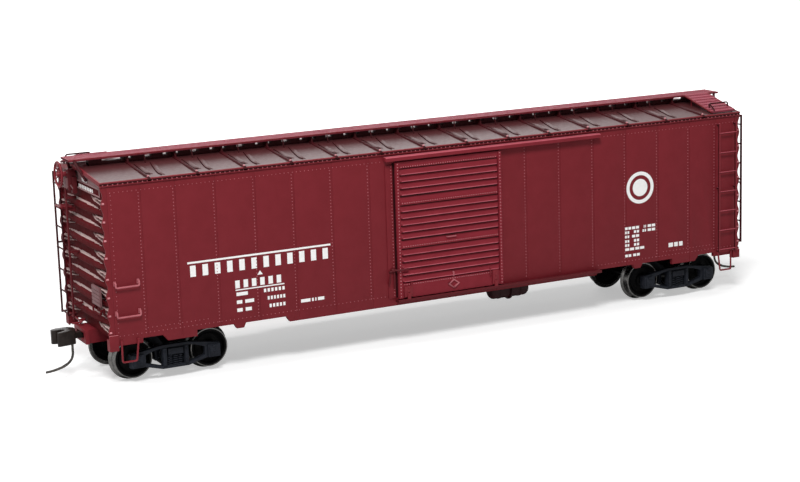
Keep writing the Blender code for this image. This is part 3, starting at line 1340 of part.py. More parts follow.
def build_coupler(name):
    """Coupler at the plain end: ring, shank, knuckle head and the curled trip pin."""
    head_back = PIVOT_X + COUPLER_REACH - COUPLER_HEAD_LENGTH
    outline = [(head_back + COUPLER_HEAD_LENGTH * along, COUPLER_HEAD_WIDTH * across)
               for along, across in COUPLER_HEAD_SHARES]
    head = plate(name, [outline], COUPLER_HEAD_HEIGHT, IN_XY, (0, 0, COUPLER_Z))
    shank = box("shank", (PIVOT_X, -SHANK_WIDTH / 2, COUPLER_Z - SHANK_HEIGHT / 2),
                (head_back + SINK, SHANK_WIDTH / 2, COUPLER_Z + SHANK_HEIGHT / 2))
    ring = round_bar("ring", (PIVOT_X, 0, COUPLER_Z - SHANK_HEIGHT / 2),
                     (PIVOT_X, 0, COUPLER_Z + SHANK_HEIGHT / 2), SHANK_RING_RADIUS, TANK_STEPS)
    pin_x = PIVOT_X + COUPLER_REACH - TRIP_PIN_INSET
    pin_z = COUPLER_Z - COUPLER_HEAD_HEIGHT / 2
    pin = as_mesh(wire("trip_pin", [
        (pin_x + TRIP_PIN_RUN * run, 0, pin_z - (TRIP_PIN_DROP - COUPLER_HEAD_HEIGHT / 2) * drop)
        for run, drop in TRIP_PIN_SHARES], TRIP_PIN_RADIUS))
    hole = round_bar("hole", (PIVOT_X, 0, COUPLER_Z - SHANK_HEIGHT),
                     (PIVOT_X, 0, COUPLER_Z + SHANK_HEIGHT),
                     PIVOT_POST_RADIUS + BEARING_CLEARANCE, TANK_STEPS)
    return cut(fuse(head, [shank, ring, pin]), [hole])


def set_origin(piece, place):
    """Move a piece's origin without moving its shape."""
    piece.data.transform(Matrix.Translation(place).inverted())
    piece.matrix_world = Matrix.Translation(place)


def build_couplers():
    """Draft boxes and couplers at both ends, each coupler's origin on its pivot."""
    pair(build_draft_box("draft_box_plain"), "body", "draft_box_brake")
    coupler = build_coupler("coupler_plain")
    set_origin(coupler, (PIVOT_X, 0, COUPLER_Z))
    pair(coupler, "coupler", "coupler_brake")


for leftover in list(bpy.data.objects):
    bpy.data.objects.remove(leftover)

MODEL = new_collection("boxcar")
CUTTERS = new_collection("cutters")

build_sides()
build_ends()
build_roof()
build_running_board()
build_lateral_boards()
build_floor()
build_centre_sill()
build_ballast()
build_doors()
build_tracks()
build_ladders()
build_grabs()
build_steps()
build_levers()
build_tack_boards()
build_brake_wheel()
build_brake_housing()
build_brake_rod()
build_brake_platform()
build_reservoir()
build_cylinder()
build_valve()
build_brake_levers()
build_couplers()
build_trucks()
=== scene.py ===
"""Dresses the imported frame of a 1:87 scale model boxcar and lights it like a studio photograph.

Lengths in the classes are millimetres in the frame of the CAD: +X towards the plain end, -Y the
near side, Z = 0 under the wheel flanges. Meshes are made in metres when a piece is put in place.
The body has a half turn's symmetry about Z, so far pieces are near pieces turned half round.
"""

from __future__ import annotations

import json
import logging
import math
from collections.abc import Callable, Iterable, Sequence
from dataclasses import dataclass, field
from enum import Enum

import bmesh
import bpy
from bpy.types import (ID, Material, Mesh, MeshPolygon, Node, NodeOutputs, NodeSocket, NodeTree,
                       Object)
from mathutils import Matrix, Vector

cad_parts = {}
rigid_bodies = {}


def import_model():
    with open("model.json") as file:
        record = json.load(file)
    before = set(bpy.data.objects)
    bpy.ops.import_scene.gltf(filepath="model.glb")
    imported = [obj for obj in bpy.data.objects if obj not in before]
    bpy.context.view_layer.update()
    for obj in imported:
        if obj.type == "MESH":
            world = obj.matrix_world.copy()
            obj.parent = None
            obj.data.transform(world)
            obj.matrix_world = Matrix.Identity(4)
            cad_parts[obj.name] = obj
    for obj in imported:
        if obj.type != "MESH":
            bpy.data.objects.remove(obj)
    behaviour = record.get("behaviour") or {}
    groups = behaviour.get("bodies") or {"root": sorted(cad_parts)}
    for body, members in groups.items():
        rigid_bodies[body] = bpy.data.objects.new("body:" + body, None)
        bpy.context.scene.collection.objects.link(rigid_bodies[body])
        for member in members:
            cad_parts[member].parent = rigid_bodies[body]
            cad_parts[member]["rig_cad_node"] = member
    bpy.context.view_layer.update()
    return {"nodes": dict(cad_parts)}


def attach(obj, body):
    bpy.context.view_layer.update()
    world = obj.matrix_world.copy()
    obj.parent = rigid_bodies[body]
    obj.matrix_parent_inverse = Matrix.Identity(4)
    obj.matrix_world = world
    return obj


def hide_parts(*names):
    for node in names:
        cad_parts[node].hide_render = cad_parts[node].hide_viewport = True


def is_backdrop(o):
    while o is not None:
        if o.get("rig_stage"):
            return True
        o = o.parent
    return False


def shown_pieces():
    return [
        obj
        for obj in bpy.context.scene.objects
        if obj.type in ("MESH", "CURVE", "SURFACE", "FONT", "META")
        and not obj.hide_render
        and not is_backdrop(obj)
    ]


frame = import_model()

LOG = logging.getLogger("boxcar")
MM = 0.001
WELD = 0.000001
HALF_TURN = Matrix.Rotation(math.pi, 4, "Z")

Point = tuple[float, float, float]
Pair = tuple[float, float]
Outline = list[Pair]
Colour = tuple[float, float, float]


class Plane(Enum):
    """Plane that a flat outline lies in; its depth runs along the third axis."""

    XY = "xy"
    XZ = "xz"
    YZ = "yz"

    def point(self, across: float, up: float, depth: float) -> Point:
        """Point of the outline at a depth."""
        if self is Plane.XY:
            return (across, up, depth)
        if self is Plane.XZ:
            return (across, depth, up)
        return (depth, across, up)


@dataclass(frozen=True)
class Car:
    """Levels and places that the pieces share, the same as in the part's source."""

    half_length: float = 89.7
    half_width: float = 16.5
    panel_face_y: float = 16.57
    base_z: float = 12.5
    side_top_z: float = 48.5
    eave_z: float = 49.5
    ridge_z: float = 51.3
    roof_half_width: float = 16.9
    roof_half_length: float = 89.8
    board_under_z: float = 53.0
    board_top_z: float = 53.4
    board_half_width: float = 3.1
    board_end_x: float = 92.5
    end_face_x: float = 89.0
    end_back_x: float = 88.3
    side_end_x: float = 88.2
    door_half_width: float = 14.5
    door_bottom_z: float = 12.3
    door_top_z: float = 46.6
    door_back_y: float = 16.75
    door_crest_y: float = 17.75
    truck_x: float = 72.3
    wheelbase: float = 19.25
    axle_z: float = 5.45
    coupler_z: float = 10.7
    panel_count: int = 15

    def panel_pitch(self) -> float:
        """Length of one roof panel."""
        return 2 * self.roof_half_length / self.panel_count

    def seams(self) -> list[float]:
        """Places of the roof's seam caps along the car."""
        first = -self.roof_half_length + self.panel_pitch()
        return [first + self.panel_pitch() * index for index in range(self.panel_count - 1)]

    def roof_z(self, y: float) -> float:
        """Height of the roof's slope at a distance from the ridge."""
        rise = self.ridge_z - self.eave_z
        return self.eave_z + rise * (1 - abs(y) / self.roof_half_width)


CAR = Car()


def smooth_step(value: float) -> float:
    """Ease from 0 to 1 as value goes from 0 to 1."""
    share = min(max(value, 0.0), 1.0)
    return share * share * (3 - 2 * share)


def spread(low: float, high: float, step: float) -> list[float]:
    """Evenly spaced values from low to high, about step apart."""
    count = max(1, round((high - low) / step))
    return [low + (high - low) * index / count for index in range(count + 1)]


def rounded(path: Sequence[Point], radius: float, steps: int = 4) -> list[Point]:
    """Path with its corners rounded.

    Args:
        path: Corners of the path.
        radius: Distance from a corner at which its curve starts.
        steps: Legs that a curve is made of.

    Returns:
        The points of the new path.
    """
    corners = [Vector(corner) for corner in path]
    points = [corners[0]]
    for before, corner, after in zip(corners, corners[1:], corners[2:]):
        back, ahead = before - corner, after - corner
        start = corner + back.normalized() * min(radius, back.length / 2)
        end = corner + ahead.normalized() * min(radius, ahead.length / 2)
        for index in range(steps + 1):
            share = index / steps
            points.append(start.lerp(corner, share).lerp(corner.lerp(end, share), share))
    points.append(corners[-1])
    return [tuple(point) for point in points]


class Shell:
    """Points, in millimetres, and faces of a piece while it is being made."""

    def __init__(self) -> None:
        """Start with nothing."""
        self.points: list[Point] = []
        self.faces: list[tuple[int, ...]] = []

    def add(self, points: Iterable[Point], faces: Iterable[Sequence[int]]) -> None:
        """Add points, and faces that count from the first of them."""
        base = len(self.points)
        self.points.extend(tuple(point) for point in points)
        self.faces.extend(tuple(base + index for index in face) for face in faces)

    def box(self, corner: Point, other: Point) -> None:
        """Add a box between two opposite corners."""
        low, high = zip(*(sorted(pair) for pair in zip(corner, other)))
        ring = [(low[0], low[1]), (high[0], low[1]), (high[0], high[1]), (low[0], high[1])]
        self.prism(ring, low[2], high[2], Plane.XY)

    def prism(self, outline: Outline, low: float, high: float, plane: Plane) -> None:
        """Add a flat outline with a thickness from low to high."""
        self.skin([[plane.point(*corner, depth) for corner in outline] for depth in (low, high)])

    def skin(self, rings: Sequence[Sequence[Point]], closed: bool = False) -> None:
        """Add a skin through rings of as many points each.

        Args:
            rings: The rings, in order.
            closed: True where the last ring joins the first, False for flat caps.
        """
        count, total = len(rings[0]), len(rings)
        faces = []
        for row in range(total if closed else total - 1):
            after = (row + 1) % total
            for index in range(count):
                beside = (index + 1) % count
                faces.append((row * count + index, row * count + beside, after * count + beside,
                              after * count + index))
        if not closed:
            faces.append(tuple(range(count)))
            faces.append(tuple(range((total - 1) * count, total * count)))
        self.add([point for ring in rings for point in ring], faces)

    def bar(self, path: Sequence[Point], radius: float, sides: int = 8) -> None:
        """Add a round bar that follows a path."""
        points = [Vector(point) for point in path]
        legs = [(after - one).normalized() for one, after in zip(points, points[1:])]
        along = [legs[0]]
        along += [(one + after).normalized() for one, after in zip(legs, legs[1:])]
        along.append(legs[-1])
        side = along[0].orthogonal().normalized()
        rings = []
        for point, heading in zip(points, along):
            side = (side - heading * side.dot(heading)).normalized()
            other = heading.cross(side)
            rings.append([point + (side * math.cos(angle) + other * math.sin(angle)) * radius
                          for angle in (2 * math.pi * step / sides for step in range(sides))])
        self.skin(rings)

    def turned(self, profile: Outline, centre: Point, axis: Point, steps: int = 32) -> None:
        """Add a profile of (radius, distance along) points turned about an axis.

        Args:
            profile: The points. Where the last is the first again, the shape is a ring.
            centre: Point of the axis that distances are counted from.
            axis: Direction of the axis.
            steps: Faces around the axis.
        """
        turn = Vector(axis).to_track_quat("Z", "Y")
        middle = Vector(centre)
        ring = profile[0] == profile[-1]
        angles = [2 * math.pi * step / steps for step in range(steps)]
        self.skin([[middle + turn @ Vector((radius * math.cos(angle), radius * math.sin(angle),
                                            along)) for angle in angles]
                   for radius, along in (profile[:-1] if ring else profile)], ring)

    def bolt(self, centre: Point, axis: Point, radius: float, crown: float, height: float,
             foot: float = -0.1, steps: int = 8) -> None:
        """Add a low, round bolt head.

        Args:
            centre: Point of the wall that it stands on.
            axis: Direction that it points in.
            radius: Its radius at the wall.
            crown: Radius of its top.
            height: How far it stands out.
            foot: Where it ends along its axis, below 0 for inside the wall.
            steps: Faces around it.
        """
        self.turned([(0, height), (crown, height - 0.04), (radius, 0), (radius, foot), (0, foot)],
                    centre, axis, steps)

    def relief(self, front: Sequence[Sequence[Point]], back: Sequence[Sequence[Point]]) -> None:
        """Add a sheet between two grids of as many points each."""
        rows, columns = len(front), len(front[0])
        size = rows * columns
        faces = []
        for row in range(rows - 1):
            for column in range(columns - 1):
                corner = row * columns + column
                face = (corner, corner + 1, corner + columns + 1, corner + columns)
                faces.append(face)
                faces.append(tuple(size + index for index in reversed(face)))
        rim = list(range(columns))
        rim += [row * columns + columns - 1 for row in range(1, rows)]
        rim += [(rows - 1) * columns + column for column in range(columns - 2, -1, -1)]
        rim += [row * columns for row in range(rows - 2, 0, -1)]
        for one, after in zip(rim, rim[1:] + rim[:1]):
            faces.append((one, size + one, size + after, after))
        self.add([point for grid in (front, back) for row in grid for point in row], faces)

    def mesh(self, bevel: float = 0.0, sharp: float = 40.0) -> Mesh:
        """Make the mesh, in metres, with its faces out.

        Args:
            bevel: Width by which sharp edges are rounded, in millimetres.
            sharp: Angle, in degrees, above which an edge isn't shaded smooth.

        Returns:
            The mesh.
        """
        work = bmesh.new()
        corners = [work.verts.new(Vector(point) * MM) for point in self.points]
        for face in self.faces:
            work.faces.new([corners[index] for index in face])
        return shaped(work, bevel, sharp)


def shaped(work: bmesh.types.BMesh, bevel: float, sharp: float) -> Mesh:
    """Weld, round and shade a bmesh, and turn it into a mesh.

    Args:
        work: The bmesh, in metres. It is used up.
        bevel: Width by which sharp edges are rounded, in millimetres.
        sharp: Angle, in degrees, above which an edge isn't shaded smooth.

    Returns:
        The mesh.
    """
    bmesh.ops.remove_doubles(work, verts=work.verts, dist=WELD)
    bmesh.ops.recalc_face_normals(work, faces=work.faces)
    if bevel:
        limit = math.radians(28)
        edges = [edge for edge in work.edges
                 if edge.is_manifold and edge.calc_face_angle(0.0) > limit]
        bmesh.ops.bevel(work, geom=edges, offset=bevel * MM, segments=2, profile=0.6,
                        affect="EDGES", clamp_overlap=True)
    mesh = bpy.data.meshes.new("shape")
    work.to_mesh(mesh)
    work.free()
    mesh.shade_smooth()
    mesh.set_sharp_from_angle(angle=math.radians(sharp))
    return mesh


def move(mesh: Mesh, place: Point, turn: float = 0.0, axis: str = "Z") -> None:
    """Turn a mesh about an axis through the origin, then move it by a place in millimetres."""
    mesh.transform(Matrix.Translation(Vector(place) * MM) @ Matrix.Rotation(turn, 4, axis))


def feed(group: NodeTree, node: Node, inputs: dict[str | int, object]) -> NodeOutputs:
    """Link or set a node's inputs.

    Args:
        group: Tree that the node is in.
        node: The node.
        inputs: A socket to link or a value to set, by the input's name or number.

    Returns:
        The node's outputs.
    """
    for key, value in inputs.items():
        if isinstance(value, NodeSocket):
            group.links.new(value, node.inputs[key])
        else:
            node.inputs[key].default_value = value
    return node.outputs


def add_node(group: NodeTree, kind: str, inputs: dict[str | int, object],
             **settings: object) -> NodeOutputs:
    """Add a node to a tree.

    Args:
        group: The tree.
        kind: The node's type.
        inputs: What its inputs are linked or set to.
        **settings: Its other properties.

    Returns:
        The node's outputs.
    """
    node = group.nodes.new(kind)
    for key, value in settings.items():
        setattr(node, key, value)
    return feed(group, node, inputs)


@dataclass(frozen=True)
class Finish:
    """Surface of a piece: mottled colour, uneven gloss and a fine grain."""

    name: str
    slot: str
    colour: Colour
    shade: Colour
    roughness: float = 0.45
    unevenness: float = 0.08
    specular: float = 0.3
    metallic: float = 0.0
    mottle_size: float = 3.5
    grain_size: float = 0.22
    grain_height: float = 0.012
    streaks: Point = (1.0, 1.0, 1.0)

    def material(self) -> Material:
        """Make the material once, and give the same one afterwards."""
        found = bpy.data.materials.get(self.name)
        if found:
            return found
        made = bpy.data.materials.new(self.name)
        made.use_nodes = True
        group = made.node_tree
        place = add_node(group, "ShaderNodeTexCoord", {})["Object"]
        spot = add_node(group, "ShaderNodeMapping", {"Vector": place, "Scale": self.streaks})[0]

        def noise(size: float, detail: float) -> NodeSocket:
            """Noise whose patches are about size millimetres wide."""
            return add_node(group, "ShaderNodeTexNoise", {
                "Vector": spot, "Scale": 1 / (size * MM), "Detail": detail,
                "Roughness": 0.6})["Fac"]

        ramp = group.nodes.new("ShaderNodeValToRGB")
        for stop, level, tint in zip(ramp.color_ramp.elements, (0.38, 0.62),
                                     (self.shade, self.colour)):
            stop.position, stop.color = level, (*tint, 1)
        gloss = add_node(group, "ShaderNodeMapRange", {
            "Value": noise(self.mottle_size / 3, 3), "From Min": 0.3, "From Max": 0.7,
            "To Min": self.roughness - self.unevenness,
            "To Max": self.roughness + self.unevenness})["Result"]
        bump = add_node(group, "ShaderNodeBump", {
            "Strength": 0.5, "Distance": self.grain_height * MM,
            "Height": noise(self.grain_size, 2)})["Normal"]
        feed(group, group.nodes["Principled BSDF"], {
            "Base Color": feed(group, ramp, {"Fac": noise(self.mottle_size, 5)})["Color"],
            "Roughness": gloss, "Normal": bump, "Metallic": self.metallic,
            "Specular IOR Level": self.specular})
        return made


BODY = Finish("body_red", "body_paint", (0.172, 0.0145, 0.0212), (0.16, 0.0129, 0.019), 0.5,
              specular=0.16)
# Lighter than the body paint: painted highlight on rivets, eave bolts, hand holds and the door
# card.
RIVET_HIGHLIGHT = Finish("rivet_painted_highlight", "body_paint", (0.44, 0.125, 0.145), (0.37, 0.098, 0.115), 0.4)
# Lighter still: painted highlight on bolts, door rivets and the tops of the corner blocks.
BOLT_HIGHLIGHT = Finish("bolt_painted_highlight", "body_paint", (0.6, 0.235, 0.26), (0.52, 0.19, 0.21), 0.36)
DOOR = Finish("door_red", "body_paint", (0.216, 0.021, 0.0316), (0.198, 0.0182, 0.0277), 0.46,
              specular=0.1)
# A lit copy of the door paint: painted highlight on the door ribs' crests, the upper rail's top and
# the side ladders' upper faces.
HIGHLIGHT_PINK = Finish("door_lip_pink", "body_paint", (0.46, 0.098, 0.128), (0.4, 0.078, 0.104),
                  0.4, specular=0.2)
TRIM = Finish("trim_red", "body_paint", (0.19, 0.017, 0.025), (0.172, 0.014, 0.021), 0.42,
              specular=0.2)
# Near-black maroon: painted shadow in the gaps beside the door and beside the roof beads.
GAP_SHADOW = Finish("gap_shadow_maroon", "body_paint", (0.03, 0.005, 0.0065), (0.024, 0.004, 0.005), 0.6,
              specular=0.05)
SILL = Finish("sill_red", "body_paint", (0.098, 0.0105, 0.0145), (0.089, 0.0092, 0.0128), 0.5,
              specular=0.15)
# A shaded copy of the body paint: painted shade on the end's flats and on the end hand holds.
END_SHADE = Finish("end_red", "body_paint", (0.088, 0.008, 0.0105), (0.074, 0.0065, 0.0085), 0.6,
             specular=0.03)
# A lit copy of the end paint: painted highlight and sheen on the upper faces of the end's ribs and
# darts.
END_RIB_HIGHLIGHT = Finish("end_top_pink", "body_paint", (0.5, 0.368, 0.352), (0.43, 0.3, 0.288), 0.4,
                 specular=0.25)
# A lit copy of the end paint: painted sheen on the end's head and on the upper panel's frame.
END_HEAD_SHEEN = Finish("end_head_pink", "body_paint", (0.31, 0.182, 0.188), (0.25, 0.142, 0.148),
                  0.42, specular=0.2)
ROOF = Finish("roof_brown", "roof_paint", (0.068, 0.015, 0.0165), (0.058, 0.012, 0.0135), 0.42,
              0.05, 0.52, mottle_size=2.2)
BOARD = Finish("board_red", "board_paint", (0.36, 0.066, 0.098), (0.31, 0.054, 0.08), 0.5,
               specular=0.18)
UNDER = Finish("underframe_black", "underframe_paint", (0.01, 0.0075, 0.0075),
               (0.007, 0.0055, 0.0055), 0.55, specular=0.1)
TANK = Finish("tank_brown", "underframe_paint", (0.03, 0.0065, 0.008), (0.024, 0.005, 0.0065),
              0.45, specular=0.15)
TRUCK = Finish("truck_black", "truck_plastic", (0.0185, 0.0208, 0.028), (0.0127, 0.0145, 0.0197),
               0.46, specular=0.1, mottle_size=1.4)
WHEEL = Finish("wheel_black", "wheel_metal", (0.004, 0.004, 0.0042), (0.0025, 0.0025, 0.0027), 0.4,
               specular=0.05, mottle_size=1.2)
STEEL = Finish("tread_steel", "wheel_metal", (0.2, 0.197, 0.19), (0.13, 0.128, 0.124), 0.3,
               metallic=1.0, mottle_size=1.0, grain_size=0.12, grain_height=0.006)
COUPLER = Finish("coupler_brown", "coupler_metal", (0.021, 0.0155, 0.013), (0.014, 0.01, 0.0085),
                 0.36, specular=0.19, mottle_size=1.0, grain_height=0.02)
PIN = Finish("pin_steel", "coupler_metal", (0.085, 0.078, 0.07), (0.055, 0.05, 0.044), 0.3,
             metallic=0.85, mottle_size=0.8)
BALLAST = Finish("ballast_grey", "ballast_steel", (0.2, 0.2, 0.2), (0.15, 0.15, 0.15), 0.42,
                 metallic=0.9, streaks=(0.15, 1.0, 1.0))
MARKING = Finish("marking_white", "marking_white", (0.93, 0.93, 0.92), (0.89, 0.89, 0.88), 0.55,
                 specular=0.15, mottle_size=1.0)
# A shaded copy of the body paint: painted shade in the door's grooves, in the eave recess, on the
# seam caps, under the running board, on the end ladders, the lateral hand holds and the side
# ladders' shaded faces.
SHADE_MAROON = Finish("shade_maroon", "body_paint", (0.05, 0.0062, 0.0085), (0.042, 0.0052, 0.007), 0.5,
              specular=0.12)
TACK = Finish("tack_board_pink", "body_paint", (0.19, 0.09, 0.094), (0.155, 0.068, 0.072), 0.5,
              specular=0.2)


def new_object(name: str, data: ID) -> Object:
    """Put a new object in the scene."""
    made = bpy.data.objects.new(name, data)
    bpy.context.scene.collection.objects.link(made)
    return made


def place_piece(name: str, mesh: Mesh, finish: Finish, replaces: str = "",
                body: str = "car") -> None:
    """Put a finished mesh in the scene and let it ride.

    Args:
        name: Name of the piece.
        mesh: Its mesh, in metres and in place.
        finish: Its surface.
        replaces: The CAD node that it stands for, if any.
        body: The CAD body that it rides on.
    """
    mesh.name = name
    if not mesh.materials:
        mesh.materials.append(finish.material())
    piece = new_object(name, mesh)
    if replaces:
        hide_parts(replaces)
    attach(piece, body)


class Twins(Enum):
    """Words in the names of a piece and of its copy half a turn round the car."""

    SIDES = (("near",), ("far",))
    ENDS = (("plain",), ("brake",))
    RIGHT_CORNERS = (("plain", "near"), ("brake", "far"))
    LEFT_CORNERS = (("brake", "near"), ("plain", "far"))


def place_twins(name: str, mesh: Mesh, finish: Finish, replaces: str = "", body: str = "car",
                twins: Twins = Twins.SIDES) -> None:
    """Put a mesh in place, and its copy half a turn round the car.

    Args:
        name: Name of both pieces, with {} for each word that differs. So are replaces and body.
        mesh: The first piece's mesh.
        finish: Their surface.
        replaces: The CAD node that each stands for, if any.
        body: The body that each rides on.
        twins: The words.
    """
    copy = mesh.copy()
    copy.transform(HALF_TURN)
    for words, one in zip(twins.value, (mesh, copy)):
        place_piece(name.format(*words), one, finish, replaces.format(*words), body.format(*words))


def tone(mesh: Mesh, finishes: Sequence[Finish], choose: Callable[[MeshPolygon], int]) -> Mesh:
    """Give each face of a mesh the finish whose number is chosen for it; here it paints light and
    shade as lit and shaded copies of one paint.
    """
    for finish in finishes:
        mesh.materials.append(finish.material())
    for face in mesh.polygons:
        face.material_index = choose(face)
    return mesh


def soften(node: str, bevel: float) -> Mesh:
    """Copy a CAD node's mesh, weld it and round its edges.

    Args:
        node: Name of the node.
        bevel: Width of the rounding, in millimetres.

    Returns:
        The new mesh.
    """
    work = bmesh.new()
    source = frame["nodes"][node].data
    corners = [work.verts.new(vertex.co) for vertex in source.vertices]
    for face in source.polygons:
        work.faces.new([corners[index] for index in face.vertices])
    bmesh.ops.remove_doubles(work, verts=work.verts, dist=WELD)
    bmesh.ops.dissolve_limit(work, angle_limit=math.radians(2), verts=work.verts, edges=work.edges)
    return shaped(work, bevel, 40)


def softened(nodes: Sequence[str], suffix: str, finish: Finish, body: str, bevel: float) -> None:
    """Replace CAD nodes by copies of them with rounded edges."""
    for node in nodes:
        place_piece(node + suffix, soften(node, bevel), finish, node, body)


class Tree:
    """A Geometry Nodes tree with named sizes, whose result is a plain mesh."""

    def __init__(self, name: str, sizes: dict[str, float | int | Point]) -> None:
        """Make the tree's inputs.

        Args:
            name: Name of the tree.
            sizes: Name and default of each input. Floats are lengths in millimetres.
        """
        self.group = bpy.data.node_groups.new(name, "GeometryNodeTree")
        self.sizes = sizes
        kinds = {int: "Int", float: "Float", tuple: "Vector"}
        sockets = {"Geometry": "Geometry"}
        sockets |= {label: kinds[type(value)] for label, value in sizes.items()}
        sockets |= {"Shape": "Object", "Finish": "Material"}
        for label, kind in sockets.items():
            self.group.interface.new_socket(label, in_out="INPUT", socket_type="NodeSocket" + kind)
        self.group.interface.new_socket("Geometry", in_out="OUTPUT",
                                        socket_type="NodeSocketGeometry")
        self.given = self.group.nodes.new("NodeGroupInput").outputs

    def node(self, kind: str, inputs: dict[str | int, object], **settings: object) -> NodeOutputs:
        """Add a node, with its inputs linked or set, and give its outputs."""
        return add_node(self.group, kind, inputs, **settings)

    def maths(self, operation: str, one: object, other: object) -> NodeSocket:
        """Add a sum of two values."""
        return self.node("ShaderNodeMath", {0: one, 1: other}, operation=operation)[0]

    def vector(self, x: object, y: object, z: object) -> NodeSocket:
        """Add a vector from three values."""
        return self.node("ShaderNodeCombineXYZ", {0: x, 1: y, 2: z})[0]

    def end(self, result: NodeSocket, smooth: bool) -> None:
        """End the tree: instances made real, shading and finish set."""
        real = self.node("GeometryNodeRealizeInstances", {0: result})[0]
        shaded = self.node("GeometryNodeSetShadeSmooth", {0: real, "Shade Smooth": smooth})[0]
        done = self.node("GeometryNodeSetMaterial",
                         {0: shaded, "Material": self.given["Finish"]})[0]
        self.node("NodeGroupOutput", {0: done})

    def make(self, points: Sequence[Point], finish: Finish, edges: Sequence[tuple[int, int]] = (),
             shape: Object | None = None, **sizes: float | int | Point) -> Mesh:
        """Run the tree.

        Args:
            points: Points, in millimetres, that the tree starts from.
            finish: Surface of the result.
            edges: Edges between the points.
            shape: Object that is repeated. It is removed.
            **sizes: Sizes that differ from the defaults, spaces in their names as underlines.

        Returns:
            The tree's result as a plain mesh.
        """
        start = bpy.data.meshes.new("start")
        start.from_pydata([Vector(point) * MM for point in points], edges, [])
        carrier = new_object("carrier", start)
        values = {**self.sizes, **{key.replace("_", " "): value for key, value in sizes.items()}}
        values = {key: value * MM if isinstance(value, float) else value
                  for key, value in values.items()}
        values |= {"Finish": finish.material(), "Shape": shape}
        modifier = carrier.modifiers.new("repeat", "NODES")
        modifier.node_group = self.group
        for item in self.group.interface.items_tree:
            if item.in_out == "INPUT" and item.name in values:
                modifier[item.identifier] = values[item.name]
        bpy.context.view_layer.update()
        graph = bpy.context.evaluated_depsgraph_get()
        result = bpy.data.meshes.new_from_object(carrier.evaluated_get(graph))
        bpy.data.objects.remove(carrier)
        if shape:
            bpy.data.objects.remove(shape)
        return result


def hidden_shape(shell: Shell, sharp: float = 40.0) -> Object:
    """Object that a tree repeats, not yet in the scene."""
    return bpy.data.objects.new("shape", shell.mesh(sharp=sharp))


def rivet_tree() -> Tree:
    """Tree that sets domes at a pitch along edges."""
    tree = Tree("rivet_rows", {"Pitch": 0.8, "Radius": 0.15, "Height": 0.1,
                               "Facing": (0.0, -1.0, 0.0)})
    lines = tree.node("GeometryNodeMeshToCurve", {0: tree.given["Geometry"]})[0]
    spaced = tree.node("GeometryNodeResampleCurve", {0: lines, "Length": tree.given["Pitch"]},
                       mode="LENGTH")[0]
    dome = tree.node("GeometryNodeMeshUVSphere", {"Segments": 6, "Rings": 4, "Radius": 1.0})[0]
    turn = tree.node("FunctionNodeAlignRotationToVector", {"Vector": tree.given["Facing"]},
                     axis="Z")[0]
    size = tree.vector(tree.given["Radius"], tree.given["Radius"], tree.given["Height"])
    tree.end(tree.node("GeometryNodeInstanceOnPoints",
                       {"Points": spaced, "Instance": dome, "Rotation": turn, "Scale": size})[0],
             True)
    return tree


def grating_tree() -> Tree:
    """Tree that makes a grating of long bars and cross bars, its middle at the origin."""
    tree = Tree("grating", {"Length": 100.0, "Width": 6.0, "Thickness": 0.6, "Bar": 0.2,
                            "Cross Bar": 0.2, "Bars": 8, "Cross Bars": 100})
    given = tree.given

    def row(count: str, span: str, bar: str, size: NodeSocket, lengthwise: bool) -> NodeSocket:
        """One set of bars, spread over a span."""
        half = tree.maths("MULTIPLY", tree.maths("SUBTRACT", given[span], given[bar]), 0.5)
        ends = [tree.maths("MULTIPLY", half, sign) for sign in (-1.0, 1.0)]
        start, stop = [tree.vector(end, 0.0, 0.0) if lengthwise else tree.vector(0.0, end, 0.0)
                       for end in ends]
        line = tree.node("GeometryNodeMeshLine",
                         {"Count": given[count], "Start Location": start, "Offset": stop},
                         mode="END_POINTS")[0]
        cube = tree.node("GeometryNodeMeshCube", {"Size": size})[0]
        return tree.node("GeometryNodeInstanceOnPoints", {"Points": line, "Instance": cube})[0]

    thinner = tree.maths("MULTIPLY", given["Thickness"], 0.7)
    crossing = row("Cross Bars", "Length", "Cross Bar",
                   tree.vector(given["Cross Bar"], given["Width"], thinner), True)
    running = row("Bars", "Width", "Bar",
                  tree.vector(given["Length"], given["Bar"], given["Thickness"]), False)
    joined = tree.group.nodes.new("GeometryNodeJoinGeometry")
    for part in (crossing, running):
        tree.group.links.new(part, joined.inputs[0])
    tree.end(joined.outputs[0], False)
    return tree


def spring_tree() -> Tree:
    """Tree that stands a coil spring on each point."""
    tree = Tree("springs", {"Radius": 0.75, "Wire": 0.17, "Height": 3.0, "Coils": 5})
    given = tree.given
    coil = tree.node("GeometryNodeCurveSpiral",
                     {"Resolution": 12, "Rotations": given["Coils"], "Height": given["Height"],
                      "Start Radius": given["Radius"], "End Radius": given["Radius"]})[0]
    section = tree.node("GeometryNodeCurvePrimitiveCircle",
                        {"Resolution": 6, "Radius": given["Wire"]})[0]
    wire = tree.node("GeometryNodeCurveToMesh",
                     {"Curve": coil, "Profile Curve": section, "Fill Caps": True})[0]
    tree.end(tree.node("GeometryNodeInstanceOnPoints",
                       {"Points": given["Geometry"], "Instance": wire})[0], True)
    return tree


def repeat_tree() -> Tree:
    """Tree that repeats a shape at each point."""
    tree = Tree("repeats", {})
    shape = tree.node("GeometryNodeObjectInfo", {"Object": tree.given["Shape"]})["Geometry"]
    points = tree.node("GeometryNodeMeshToPoints", {0: tree.given["Geometry"]})[0]
    placed = tree.node("GeometryNodeInstanceOnPoints", {"Points": points, "Instance": shape})[0]
    real = tree.node("GeometryNodeRealizeInstances", {0: placed})[0]
    done = tree.node("GeometryNodeSetMaterial", {0: real, "Material": tree.given["Finish"]})[0]
    tree.node("NodeGroupOutput", {0: done})
    return tree


